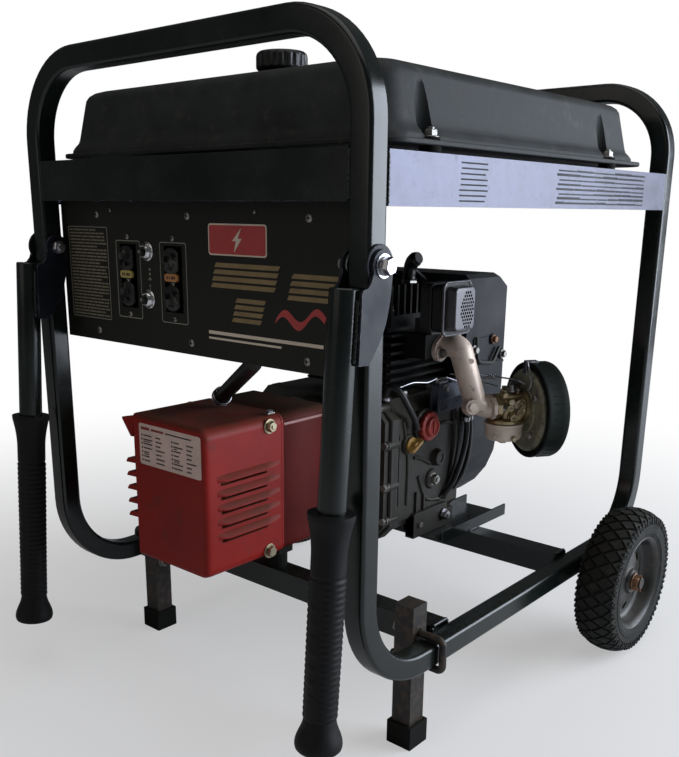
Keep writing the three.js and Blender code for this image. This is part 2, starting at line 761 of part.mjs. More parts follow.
function cylinderHead() {
  const x = -45;
  const y = 412;
  const base = block(x - 72, x + 72, y - 64, y + 60, 440 + CLEAR, 456);
  const fins = Array.from({ length: 9 }, (_, i) => {
    const fy = y - 62 + 14.4 * i;
    return block(x - 70, x + 70, fy, fy + 3.6, 455, 496);
  });
  const plugSeat = rod("z", 15.5, 490, 500, [2, 420], 12);
  const boss = rod("z", 14, 455, 490, [2, 420], 12);
  return cut(join(base, boss, ...fins), rod("z", 6.6, 450, 500, [2, 420], 12), plugSeat);
}

function blowerOutline(grow) {
  const shape = new THREE.Shape();
  const r = 122 + grow;
  shape.moveTo(CRANK_X + r, CRANK_Z);
  shape.lineTo(62 + grow, 340);
  shape.lineTo(62 + grow, 500);
  shape.lineTo(56 + grow, 506 + grow);
  shape.lineTo(-150 - grow, 506 + grow);
  shape.lineTo(-172 - grow, 480);
  shape.lineTo(CRANK_X - r, CRANK_Z);
  shape.absarc(CRANK_X, CRANK_Z, r, Math.PI, 2 * Math.PI, false);
  return shape;
}

// The shroud slopes down to the starter along its top rear edge.
function blowerBevel(inset) {
  const slope = outline([
    [555, 507 - inset],
    [592, 482 - inset],
    [592, 520],
    [555, 520],
  ]);
  return slab("x", slope, -300, 200);
}

function buildEngine() {
  const axis = [CRANK_X, CRANK_Z];
  piece("crankcase", crankcase(), MAT.casting);
  piece("cylinder_block", cylinderBlock(), MAT.darkCasting);
  piece("cylinder_head", cylinderHead(), MAT.darkCasting);

  const crankX = (r, from, to) => rod("y", r, from, to, axis, 16);
  const web = (y) => block(CRANK_X - 18, CRANK_X + 18, y, y + 16, CRANK_Z - 64, CRANK_Z + 40);
  const throwPin = rod("y", 14, 384, 430, [CRANK_X, CRANK_Z + 26], 16);
  const shaft = join(crankX(12, 62, 384.5), web(372), throwPin, web(426), crankX(12, 441, 572));
  piece("crankshaft", shaft, MAT.steel);

  const flywheel = turned(
    "y",
    [
      [12.4, 500],
      [30, 500],
      [34, 512],
      [98, 512],
      [100, 536],
      [92, 560],
      [84, 560],
      [84, 540],
      [12.4, 532],
    ],
    axis,
    24,
  );
  piece("flywheel", flywheel, MAT.lamination);

  const hoodSkin = cut(slab("y", blowerOutline(0), CASE_BACK + CLEAR, 588), blowerBevel(0));
  const hoodHollow = cut(slab("y", blowerOutline(-2.5), CASE_BACK + 2.5, 585.5), blowerBevel(3));
  const intakeHole = rod("y", 78, 580, 592, axis, 28);
  const shaftHole = rod("y", 60, CASE_BACK - 5, CASE_BACK + 6, axis, 20);
  piece("blower_housing", cut(hoodSkin, hoodHollow, intakeHole, shaftHole), MAT.shroud);

  const recoilProfile = [
    [0, 618],
    [52, 618],
    [86, 606],
    [90, 588 + CLEAR],
    [80, 588 + CLEAR],
    [78, 602],
    [50, 612],
    [0, 612],
  ];
  const vents = Array.from({ length: 8 }, (_, i) => {
    const a = (2 * Math.PI * (i + 0.5)) / 8;
    return rod("y", 7, 580, 630, [CRANK_X + 66 * Math.cos(a), CRANK_Z + 66 * Math.sin(a)], 6);
  });
  const eyelet = block(CRANK_X - 96, CRANK_X - 76, 590, 604, CRANK_Z + 26, CRANK_Z + 48);
  const starter = cut(join(turned("y", recoilProfile, axis, 24), eyelet), ...vents);
  piece("recoil_starter", cut(starter, rod("x", 3, -200, -100, [597, CRANK_Z + 37], 8)), MAT.shroud);

  const gripX = CRANK_X - 96 - CLEAR;
  const pull = join(
    rod("x", 6, gripX - 8, gripX, [597, CRANK_Z + 37], 12),
    block(gripX - 20, gripX - 7, 590, 604, CRANK_Z + 8, CRANK_Z + 66),
  );
  piece("recoil_grip", pull, MAT.blackPlastic);

  const plug = join(
    hexagon("z", 20, 490 + CLEAR, 500, [2, 420]),
    rod("z", 6, 470, 496, [2, 420], 12),
    rod("z", 10, 499, 519, [2, 420], 12),
    hull([
      [-6, 411, 512],
      [10, 411, 512],
      [-6, 429, 512],
      [10, 429, 512],
      [6, 412, 536],
      [24, 412, 532],
      [6, 428, 536],
      [24, 428, 532],
    ]),
  );
  piece("spark_plug_boot", plug, MAT.blackPlastic);

  const muffler = join(
    slab("x", outline(roundRect(356, 416, 438, 502, 6, 2)), 66, 104),
    slab("x", outline(roundRect(353, 419, 435, 505, 8, 2)), 103, 107),
    slab("x", outline(roundRect(361, 409, 441, 499, 6, 2)), 106, 120),
    block(40, 68, 384, 406, 431 + CLEAR, 452),
  );
  piece("muffler", muffler, MAT.muffler);
}

// ---- intake, carburettor and air cleaner ----
function buildIntake() {
  const turn = new THREE.Group();
  turn.position.copy(INTAKE);
  turn.rotation.z = INTAKE_TURN;
  generator.add(turn);
  const raised = new THREE.Group();
  raised.position.z = CARB_RISE;
  turn.add(raised);

  const heading = new THREE.Vector3(0, 1, 0).applyAxisAngle(new THREE.Vector3(0, 0, 1), INTAKE_TURN);
  const mouth = INTAKE.clone().setZ(INTAKE.z + CARB_RISE);
  const end = mouth.clone().addScaledVector(heading, -4);
  const knee = mouth.clone().addScaledVector(heading, -27);
  const route = new Route(
    [[63 + CLEAR, 418, 415], [92, 418, 415], knee.toArray(), end.toArray()],
    [16, 17],
    5,
  );
  const flangeAtBlock = slab("x", outline(roundRect(400, 437, 400, 430, 8, 2)), 63 + CLEAR, 68);
  piece("intake_elbow", join(sweep(roundSection(14.5, 12), route), flangeAtBlock), MAT.intake);

  // along local +y from the elbow's mouth
  const body = join(
    block(-21, 21, -3.5, 2, -14, 14),
    rod("y", 17, 1, 44, [0, 0], 16),
    block(-15, 15, 8, 36, -22, 16),
    rod("z", 5, 14, 24, [0, 14], 10),
    rod("z", 5, 14, 20, [0, 34], 10),
    rod("x", 4, 12, 24, [20, 4], 8),
  );
  piece("carburettor", body, MAT.brass, raised);

  const bowl = turned(
    "z",
    [
      [0, -47],
      [20, -47],
      [25, -43],
      [26, -24],
      [27.5, -22 - CLEAR],
      [0, -22 - CLEAR],
    ],
    [0, 15.5],
    16,
  );
  piece("float_bowl", bowl, MAT.filterBase, raised);

  const disc = [
    [12, 44 + CLEAR],
    [50, 44 + CLEAR],
    [58, 47],
    [58, 50],
    [12, 50],
  ];
  piece("air_cleaner_base", turned("y", disc, [0, 0], 24), MAT.filterBase, turn);
  const element = [
    [0, 50 + CLEAR],
    [64, 50 + CLEAR],
    [67, 53],
    [67, 78],
    [63, 82],
    [0, 82],
  ];
  piece("air_filter", turned("y", element, [0, 0], 24), MAT.filter, turn);

  const lever = (y, length, z) => {
    const arm = slab("z", outline(roundRect(-4, length, y - 4, y + 4, 3.5, 2)), z, z + 2.4);
    return join(arm, rod("z", 2.5, z + 2, z + 9, [length - 4, y], 8));
  };
  piece("throttle_lever", lever(14, 26, 24 + CLEAR), MAT.steel, raised);
  piece("choke_lever", mirrorX(lever(34, 28, 20 + CLEAR)), MAT.steel, raised);
}

// ---- oil filler, dipstick and breather hose ----
function buildOilFittings() {
  const face = CASE_RIGHT + 6 + CLEAR;
  const oilCap = turned(
    "x",
    [
      [0, face],
      [19.5, face],
      [20.5, face + 8],
      [14, face + 9],
      [13.5, face + 14],
      [0, face + 14],
    ],
    OIL_CAP,
    24,
  );
  piece("oil_fill_cap", oilCap, MAT.redPlastic);

  const low = CASE_RIGHT + 4 + CLEAR;
  const wing = join(
    rod("x", 10, low, low + 4, DIPSTICK, 16),
    block(low + 3, low + 15, DIPSTICK[0] - 2.5, DIPSTICK[0] + 2.5, DIPSTICK[1] - 13, DIPSTICK[1] + 13),
  );
  piece("dipstick_plug", wing, MAT.yellowPlastic);

  const hose = new Route(
    [
      [42, 322, 345 + CLEAR],
      [42, 322, 368],
      [70, 332, 352],
      [70, 356, 304],
    ],
    [9, 14],
    5,
  );
  piece("breather_hose", sweep(roundSection(4.5, 8), hose), MAT.blackPlastic);
}

buildFrame();
buildFeet();
buildHandles();
buildWheels();
buildTank();
buildPanel();
buildAlternator();
buildEngine();
buildIntake();
buildOilFittings();

// The origin is under the middle of the whole machine, on the floor.
const part = new THREE.Group();
part.add(generator);
part.updateMatrixWorld(true);
const whole = new THREE.Box3().setFromObject(generator, true);
generator.position.set(0, -(whole.min.y + whole.max.y) / 2, 0);

export default part;
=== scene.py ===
# A portable generator in its tubular cradle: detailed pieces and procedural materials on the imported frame.
# Lengths in the code are millimetres in the machine's own layout: X across, Y from the panel end, Z up from the floor.
import json
import math
import random

import bmesh
import bpy
from mathutils import Matrix, Vector
from mathutils.geometry import tessellate_polygon


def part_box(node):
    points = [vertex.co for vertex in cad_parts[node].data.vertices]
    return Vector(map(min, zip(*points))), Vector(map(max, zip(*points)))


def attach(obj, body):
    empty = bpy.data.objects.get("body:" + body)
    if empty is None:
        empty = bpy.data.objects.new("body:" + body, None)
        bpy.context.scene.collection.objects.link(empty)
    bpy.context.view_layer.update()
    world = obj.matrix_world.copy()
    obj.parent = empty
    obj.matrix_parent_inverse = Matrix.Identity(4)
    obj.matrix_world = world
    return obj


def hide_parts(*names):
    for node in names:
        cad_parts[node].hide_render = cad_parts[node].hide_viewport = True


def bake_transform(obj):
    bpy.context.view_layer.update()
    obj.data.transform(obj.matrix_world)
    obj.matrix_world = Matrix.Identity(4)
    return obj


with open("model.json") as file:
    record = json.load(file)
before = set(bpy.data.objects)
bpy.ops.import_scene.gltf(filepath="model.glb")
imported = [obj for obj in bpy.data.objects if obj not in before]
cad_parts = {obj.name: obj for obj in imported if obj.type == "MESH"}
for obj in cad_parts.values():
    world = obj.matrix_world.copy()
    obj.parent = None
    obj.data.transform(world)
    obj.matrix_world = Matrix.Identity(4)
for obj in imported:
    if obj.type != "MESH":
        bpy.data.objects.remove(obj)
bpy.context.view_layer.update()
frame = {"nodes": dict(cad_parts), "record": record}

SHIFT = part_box("front_hoop")[0].y * 1000  # the front hoop's face is Y = 0 in this file
rnd = random.Random(7)

TAU = 2 * math.pi
LEG_X = 251.3  # middle of the hoop legs and side rails
TUBE_R = 12.7  # half the cradle tube's width
LENGTH = 668.0  # from the front hoop's face to the rear hoop's
FACE = 28.0  # Y of the panel's face and of the alternator cover's
INK = 0.16  # how far a print stands off the face in Y
CRANK = (-63.0, 261.0)  # X and Z of the crankshaft and alternator axis
OIL_CAP = (386.0, 305.0)  # Y and Z of the filler's axis
DIPSTICK = (352.0, 284.0)  # Y and Z of the level plug's axis
AXLE = (525.5, 101.6)  # Y and Z of the wheels' axis; they stand on the floor
FILLER = (0.0, 168.0)  # X and Y of the fuel cap's axis
TANK_BOLTS_Y = (106, 486)
OUTLETS = (("left", -112, "tag_yellow"), ("right", -32, "tag_orange"))
PIVOT_Z = 546
GRIPS = {"right": (-221.0, -459.0), "left": (-208.0, -484.0)}  # top and end below the pivot; the pair is unequal


def to_row(p):
    """A point of this file's layout in metres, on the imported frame."""
    return Vector((p[0] / 1000, (p[1] + SHIFT) / 1000, p[2] / 1000))


def link(name, data):
    """A new object in the scene."""
    obj = bpy.data.objects.new(name, data)
    bpy.context.scene.collection.objects.link(obj)
    return obj


# ------------------------------------------------------------------ materials
class Graph:
    """A small wrapper that adds shader nodes and links them."""

    def __init__(self, name):
        self.mat = bpy.data.materials.new(name)
        self.mat.use_nodes = True
        self.tree = self.mat.node_tree
        self.bsdf = self.tree.nodes["Principled BSDF"]
        self.coord = self.tree.nodes.new("ShaderNodeTexCoord").outputs["Object"]

    def node(self, kind, **values):
        n = self.tree.nodes.new("ShaderNode" + kind)
        for key, value in values.items():
            if hasattr(n, key):
                setattr(n, key, value)
            else:
                self.put(n.inputs[key.replace("_", " ")], value)
        return n

    def put(self, socket, value):
        if isinstance(value, bpy.types.NodeSocket):
            self.tree.links.new(value, socket)
        else:
            socket.default_value = value

    def noise(self, scale, detail=4.0, rough=0.55, coord=None):
        n = self.node("TexNoise", Scale=scale, Detail=detail, Roughness=rough)
        self.put(n.inputs["Vector"], coord or self.coord)
        return n.outputs["Fac"]

    def ramp(self, fac, low, high, a=0.0, b=1.0):
        n = self.node("MapRange", clamp=True)
        self.put(n.inputs["Value"], fac)
        n.inputs["From Min"].default_value = low
        n.inputs["From Max"].default_value = high
        n.inputs["To Min"].default_value = a
        n.inputs["To Max"].default_value = b
        return n.outputs["Result"]

    def math(self, op, a, b=0.0):
        n = self.node("Math", operation=op)
        self.put(n.inputs[0], a)
        self.put(n.inputs[1], b)
        return n.outputs[0]

    def mix(self, fac, a, b):
        n = self.tree.nodes.new("ShaderNodeMix")
        n.data_type = "RGBA"
        self.put(n.inputs["Factor"], fac)
        self.put(n.inputs[6], a)
        self.put(n.inputs[7], b)
        return n.outputs[2]

    def normal_part(self, axis):
        geo = self.node("NewGeometry")
        split = self.node("SeparateXYZ")
        self.put(split.inputs[0], geo.outputs["Normal"])
        return split.outputs[axis]

    def edges(self, radius=0.0016):
        bevel = self.node("Bevel", samples=4)
        bevel.inputs["Radius"].default_value = radius
        geo = self.node("NewGeometry")
        dot = self.node("VectorMath", operation="DOT_PRODUCT")
        self.put(dot.inputs[0], bevel.outputs["Normal"])
        self.put(dot.inputs[1], geo.outputs["Normal"])
        return self.ramp(dot.outputs["Value"], 0.97, 0.8)


def rgb(color):
    return (*color, 1.0)


def surface(name, color, rough=0.45, metal=0.0, vary=0.25, scale=14.0, spots=None, spot_amount=0.5, dust=0.0,
            dust_color=(0.16, 0.14, 0.10), wear=0.0, wear_color=(0.20, 0.17, 0.14), scratches=0.0, grain=600.0,
            bump=0.12, lumps=0.0, rough_vary=0.12, specular=0.5):
    """Paint, metal, plastic or rubber: cloudy tone, dust on upward faces, worn edges, fine grain in the bump."""
    g = Graph(name)
    broad = g.noise(scale, 5.0, 0.6)
    fine = g.noise(grain, 3.0, 0.6)
    dark = tuple(c * (1 - vary) for c in color)
    light = tuple(min(1.0, c * (1 + vary)) for c in color)
    tone = g.mix(g.ramp(broad, 0.34, 0.66), rgb(dark), rgb(light))
    if spots:
        patch = g.ramp(g.noise(scale * 3.1, 6.0, 0.7), 0.66 - 0.25 * spot_amount, 0.78 - 0.2 * spot_amount)
        tone = g.mix(g.math("MULTIPLY", patch, 0.85), tone, rgb(spots))
    shade = g.ramp(broad, 0.3, 0.7, rough - rough_vary, rough + rough_vary)
    if dust:
        up = g.ramp(g.normal_part(2), 0.15, 0.95)
        cloudy = g.ramp(g.noise(scale * 2.2, 6.0, 0.65), 0.3, 0.7, 0.35, 1.0)
        mask = g.math("MULTIPLY", g.math("MULTIPLY", up, cloudy), dust)
        tone = g.mix(mask, tone, rgb(dust_color))
        shade = g.math("ADD", shade, g.math("MULTIPLY", mask, 0.35))
    if scratches:
        stretch = g.node("Mapping")
        stretch.inputs["Scale"].default_value = (1.0, 1.0, 14.0)
        g.put(stretch.inputs["Vector"], g.coord)
        lines = g.ramp(g.noise(150.0, 2.0, 0.5, stretch.outputs["Vector"]), 0.70, 0.74)
        tone = g.mix(g.math("MULTIPLY", lines, scratches), tone, rgb(wear_color))
    if wear:
        rubbed = g.math("MULTIPLY", g.edges(), g.ramp(g.noise(90.0, 5.0, 0.7), 0.47, 0.6))
        tone = g.mix(g.math("MULTIPLY", rubbed, wear), tone, rgb(wear_color))
    g.put(g.bsdf.inputs["Base Color"], tone)
    g.put(g.bsdf.inputs["Roughness"], g.math("ADD", shade, g.ramp(fine, 0.3, 0.7, -0.03, 0.03)))
    g.bsdf.inputs["Metallic"].default_value = metal
    g.bsdf.inputs["Specular IOR Level"].default_value = specular
    height = g.math("ADD", g.math("MULTIPLY", fine, 0.5), g.math("MULTIPLY", broad, lumps))
    rise = g.node("Bump", Strength=bump, Distance=0.0006)
    g.put(rise.inputs["Height"], height)
    g.put(g.bsdf.inputs["Normal"], rise.outputs["Normal"])
    return g.mat


M = {
    "frame": surface("gloss_black_enamel", (0.0060, 0.0095, 0.0078), 0.22, vary=0.35, dust=0.18,
                     dust_color=(0.04, 0.038, 0.03), wear=0.35, wear_color=(0.09, 0.085, 0.075), bump=0.10,
                     rough_vary=0.08, specular=0.5),
    # partly painted sheen: the rails' black enamel gets a lifted, blue-tinted base colour that stands for the cool
    # window's reflection
    "rail": surface("rail_enamel_painted_sheen", (0.085, 0.088, 0.125), 0.34, metal=0.55, vary=0.22, scale=30,
                    spots=(0.045, 0.045, 0.07),
                    spot_amount=0.3, wear=0.25,
                    wear_color=(0.25, 0.25, 0.27), bump=0.14, rough_vary=0.05, specular=0.6),
    "panel": surface("printed_panel", (0.0088, 0.0086, 0.0062), 0.55, vary=0.28, scale=9, dust=0.2,
                     dust_color=(0.06, 0.055, 0.04), wear=0.25, wear_color=(0.07, 0.06, 0.045), bump=0.12,
                     specular=0.32),
    "tank": surface("tank_textured_enamel", (0.0340, 0.0370, 0.0380), 0.58, vary=0.30, scale=16,
                    spots=(0.064, 0.063, 0.052), spot_amount=0.42, dust=0.22, dust_color=(0.055, 0.052, 0.042),
                    wear=0.25, wear_color=(0.08, 0.07, 0.055), grain=700, bump=0.6, rough_vary=0.07, specular=0.18),
    "worn": surface("worn_black_steel", (0.018, 0.017, 0.015), 0.5, vary=0.4, scale=30, spots=(0.075, 0.045, 0.028),
                    spot_amount=0.75, dust=0.4, dust_color=(0.09, 0.08, 0.06), wear=0.8,
                    wear_color=(0.16, 0.13, 0.10), scratches=0.5, bump=0.3, specular=0.4),
    "grip": surface("grip_rubber", (0.0034, 0.0034, 0.0035), 0.55, vary=0.2, scale=20, dust=0.12,
                    dust_color=(0.04, 0.038, 0.035), grain=1400, bump=0.2, specular=0.24),
    "rubber": surface("foot_rubber", (0.0062, 0.0066, 0.0052), 0.75, vary=0.3, scale=28, dust=0.4,
                      dust_color=(0.05, 0.046, 0.036), bump=0.4, specular=0.14),
    "tyre": surface("tyre_rubber", (0.0100, 0.0106, 0.0085), 0.72, vary=0.35, scale=22, spots=(0.035, 0.032, 0.024),
                    spot_amount=0.5, dust=0.35, dust_color=(0.06, 0.055, 0.04), bump=0.45, specular=0.3),
    "rim": surface("rim_enamel", (0.022, 0.021, 0.018), 0.36, vary=0.35, scale=26, spots=(0.09, 0.062, 0.040),
                   spot_amount=0.45, dust=0.25, dust_color=(0.08, 0.07, 0.055), wear=0.5,
                   wear_color=(0.12, 0.10, 0.08), bump=0.2, specular=0.5),
    "rust": surface("rusty_nut_steel", (0.22, 0.105, 0.05), 0.62, metal=0.35, vary=0.4, scale=60,
                    spots=(0.36, 0.24, 0.16), spot_amount=0.6, bump=0.5),
    "zinc": surface("plated_steel", (0.46, 0.46, 0.49), 0.30, metal=1.0, vary=0.12, scale=60, wear=0.3,
                    wear_color=(0.35, 0.30, 0.24), bump=0.12),
    "ear": surface("worn_ear_enamel", (0.0095, 0.0110, 0.0170), 0.42, metal=0.1, vary=0.2, scale=24, wear=0.9,
                   wear_color=(0.24, 0.25, 0.28), bump=0.12, specular=0.28),
    "steel": surface("dull_steel", (0.30, 0.29, 0.27), 0.38, metal=0.9, vary=0.25, scale=50,
                     spots=(0.16, 0.13, 0.10), spot_amount=0.4, bump=0.2),
    "gold_zinc": surface("yellow_plated_steel", (0.36, 0.31, 0.21), 0.34, metal=0.9, vary=0.2, scale=70, bump=0.15),
    "red": surface("red_enamel", (0.235, 0.0105, 0.0070), 0.46, vary=0.14, scale=10, spots=(0.12, 0.022, 0.014),
                   spot_amount=0.25, dust=0.95, dust_color=(0.060, 0.040, 0.022), wear=0.35,
                   wear_color=(0.17, 0.07, 0.05), grain=800, bump=0.22, rough_vary=0.06, specular=0.20),
    "red_side": surface("red_enamel_faded", (0.098, 0.0095, 0.0075), 0.55, vary=0.18, scale=12, dust=1.0,
                        dust_color=(0.036, 0.036, 0.020), wear=0.6, wear_color=(0.28, 0.20, 0.17), grain=800,
                        bump=0.2, rough_vary=0.06, specular=0.14),
    # pale pink used as a painted highlight along the alternator wrapper's edge
    "edge_pink": surface("red_edge_painted_highlight", (0.30, 0.13, 0.115), 0.4, vary=0.2, scale=60, bump=0.1),
    "label": surface("label_white", (0.62, 0.46, 0.40), 0.5, vary=0.08, scale=40, bump=0.05, rough_vary=0.05),
    "ink": surface("label_ink", (0.028, 0.02, 0.018), 0.6, vary=0.2, bump=0.05),
    "ink_red": surface("label_red_ink", (0.20, 0.030, 0.022), 0.6, vary=0.1, bump=0.05),
    "lamination": surface("varnished_laminations", (0.06, 0.055, 0.045), 0.45, metal=0.7, vary=0.3, bump=0.3),
    "copper": surface("varnished_winding", (0.30, 0.10, 0.04), 0.4, metal=0.7, vary=0.3, bump=0.4),
    "cast": surface("oily_casting", (0.028, 0.025, 0.0185), 0.52, metal=0.25, vary=0.35, scale=24,
                    spots=(0.020, 0.018, 0.014), spot_amount=0.7, dust=0.35, dust_color=(0.10, 0.088, 0.06),
                    wear=0.5, wear_color=(0.16, 0.15, 0.125), grain=700, bump=0.55, lumps=0.8),
    "fins": surface("heat_darkened_fins", (0.0085, 0.0085, 0.0075), 0.68, metal=0.1, vary=0.35, scale=30, dust=0.35,
                    dust_color=(0.035, 0.032, 0.024), wear=0.35, wear_color=(0.035, 0.033, 0.028), specular=0.2,
                    grain=700, bump=0.4),
    "muffler": surface("heatproof_paint", (0.0125, 0.0125, 0.0115), 0.55, vary=0.3, scale=18, dust=0.4,
                       dust_color=(0.06, 0.055, 0.042), wear=0.7, wear_color=(0.22, 0.215, 0.20), bump=0.3),
    "guard": surface("guard_steel", (0.125, 0.120, 0.130), 0.40, metal=0.5, vary=0.15, scale=40,
                     spots=(0.16, 0.14, 0.12), spot_amount=0.3, bump=0.2),
    # partly painted highlight: the bracket's base colour is tinted blue-grey to stand for the window's highlight on it
    "bracket": surface("steel_painted_blue_sheen", (0.085, 0.095, 0.125), 0.34, metal=0.6, vary=0.25, scale=40,
                       spots=(0.05, 0.045, 0.035), spot_amount=0.45, bump=0.2),
    "cordage": surface("woven_starter_rope", (0.05, 0.048, 0.042), 0.8, vary=0.4, scale=300, grain=1800, bump=0.6),
    # painted shade: flat black laid in screw recesses, screw slots and the walls of the guard's holes
    "painted_shade": surface("painted_shade_black", (0.004, 0.004, 0.004), 0.9, vary=0.3, bump=0.3, specular=0.1),
    "shroud": surface("grey_shroud_paint", (0.0135, 0.0150, 0.0175), 0.55, vary=0.25, scale=13, dust=0.3,
                      dust_color=(0.09, 0.085, 0.07), wear=0.5, wear_color=(0.12, 0.115, 0.105), bump=0.25,
                      specular=0.24),
    "intake": surface("stained_casting", (0.74, 0.60, 0.50), 0.42, metal=0.2, vary=0.16, scale=30,
                      spots=(0.11, 0.085, 0.06), spot_amount=0.35, wear=0.4, wear_color=(0.48, 0.43, 0.37),
                      grain=700, bump=0.4, lumps=0.5),
    "brass": surface("dull_yellow_metal", (0.42, 0.335, 0.19), 0.36, metal=0.85, vary=0.3, scale=60,
                     spots=(0.09, 0.065, 0.035), spot_amount=0.5, bump=0.3),
    "pale": surface("pale_casting", (0.80, 0.67, 0.55), 0.42, metal=0.15, vary=0.16, scale=34,
                    spots=(0.12, 0.095, 0.065), spot_amount=0.35, bump=0.25),
    "disc": surface("filter_base_steel", (0.34, 0.335, 0.235), 0.42, metal=0.3, vary=0.3, scale=30,
                    spots=(0.05, 0.045, 0.033), spot_amount=0.5, bump=0.25),
    "filter": surface("dark_green_cover", (0.0030, 0.0062, 0.0040), 0.55, vary=0.3, scale=26, dust=0.25,
                      dust_color=(0.020, 0.023, 0.016), wear=0.3, wear_color=(0.03, 0.036, 0.027), bump=0.3,
                      specular=0.16),
    "plastic_red": surface("red_cap_plastic", (0.33, 0.032, 0.022), 0.40, vary=0.2, scale=60,
                           spots=(0.15, 0.03, 0.02), spot_amount=0.3, bump=0.15),
    "plastic_yellow": surface("yellow_plug_plastic", (0.42, 0.24, 0.06), 0.42, vary=0.22, scale=60,
                              spots=(0.16, 0.09, 0.03), spot_amount=0.4, bump=0.2),
    "plastic": surface("black_plastic", (0.0058, 0.0060, 0.0060), 0.4, vary=0.2, scale=30, dust=0.15,
                       dust_color=(0.03, 0.03, 0.026), bump=0.12, specular=0.45),
    "outlet": surface("outlet_thermoset", (0.010, 0.0098, 0.0085), 0.28, vary=0.2, scale=40, bump=0.06, specular=0.5),
    "chrome": surface("chrome_collar", (0.70, 0.70, 0.70), 0.16, metal=1.0, vary=0.08, scale=80,
                      spots=(0.35, 0.32, 0.28), spot_amount=0.3, bump=0.06),
    "print_line": surface("pale_print", (0.26, 0.25, 0.205), 0.55, vary=0.15, bump=0.04),
    "print_text": surface("sand_print", (0.19, 0.168, 0.108), 0.55, vary=0.15, bump=0.04),
    "print_gold": surface("gold_print", (0.235, 0.165, 0.070), 0.48, vary=0.16, scale=70, bump=0.05),
    "print_red": surface("red_print", (0.46, 0.050, 0.050), 0.5, vary=0.12, bump=0.04),
    "print_cream": surface("cream_print", (0.70, 0.60, 0.48), 0.5, vary=0.08, bump=0.04),
    "tag_yellow": surface("yellow_tag", (0.42, 0.33, 0.10), 0.5, vary=0.1, bump=0.04),
    "tag_orange": surface("orange_tag", (0.48, 0.21, 0.07), 0.5, vary=0.1, bump=0.04),
    "rail_ink": surface("rail_dark_print", (0.010, 0.011, 0.014), 0.55, vary=0.2, bump=0.05, specular=0.2),
}


# ------------------------------------------------------------------ mesh building
def place(axis, a, b, h):
    return {"x": (h, a, b), "y": (a, h, b), "z": (a, b, h)}[axis]


def rounded(x0, x1, y0, y1, r, steps=4):
    pts = []
    for cx, cy, start in ((x1 - r, y0 + r, -90), (x1 - r, y1 - r, 0), (x0 + r, y1 - r, 90), (x0 + r, y0 + r, 180)):
        for i in range(steps + 1):
            a = math.radians(start + 90 * i / steps)
            pts.append((cx + r * math.cos(a), cy + r * math.sin(a)))
    return pts


def circle(r, n, at=(0, 0), turn=0.0):
    return [(at[0] + r * math.cos(turn + TAU * i / n), at[1] + r * math.sin(turn + TAU * i / n)) for i in range(n)]


def route(points, radii, quarter=12):
    """(place, heading) stations along a polyline with rounded corners."""
    p = [Vector(q) for q in points]
    if not isinstance(radii, (list, tuple)):
        radii = [radii] * (len(p) - 2)
    out = [(p[0], (p[1] - p[0]).normalized())]
    for i in range(1, len(p) - 1):
        into = (p[i] - p[i - 1]).normalized()
        away = (p[i + 1] - p[i]).normalized()
        bend = into.angle(away)
        r = radii[i - 1]
        start = p[i] - into * (r * math.tan(bend / 2))
        side = (away - into * into.dot(away)).normalized()
        centre = start + side * r
        n = max(2, round(quarter * bend / (math.pi / 2)))
        for k in range(n + 1):
            a = bend * k / n
            out.append((centre - side * (r * math.cos(a)) + into * (r * math.sin(a)),
                        into * math.cos(a) + side * math.sin(a)))
    out.append((p[-1], (p[-1] - p[-2]).normalized()))
    return out


def headed(points, closed=False):
    """(place, heading) stations at the points, each headed from the point before to the one after."""
    p = [Vector(q) for q in points]
    n = len(p)
    if closed:
        out = [(q, (p[(i + 1) % n] - p[i - 1]).normalized()) for i, q in enumerate(p)]
        return out + out[:1]
    return [(q, (p[min(i + 1, n - 1)] - p[max(i - 1, 0)]).normalized()) for i, q in enumerate(p)]


def spline(points, n=32):
    """(place, heading) stations on a smooth curve through the points."""
    p = [Vector(q) for q in points]
    p = [p[0] * 2 - p[1]] + p + [p[-1] * 2 - p[-2]]
    spots = []
    for i in range(1, len(p) - 2):
        for k in range(n // (len(p) - 3)):
            t = k / (n // (len(p) - 3))
            a, b, c, d = p[i - 1], p[i], p[i + 1], p[i + 2]
            spots.append(0.5 * (2 * b + (c - a) * t + (2 * a - 5 * b + 4 * c - d) * t * t
                                + (3 * b - a - 3 * c + d) * t ** 3))
    spots.append(p[-2])
    return headed(spots)


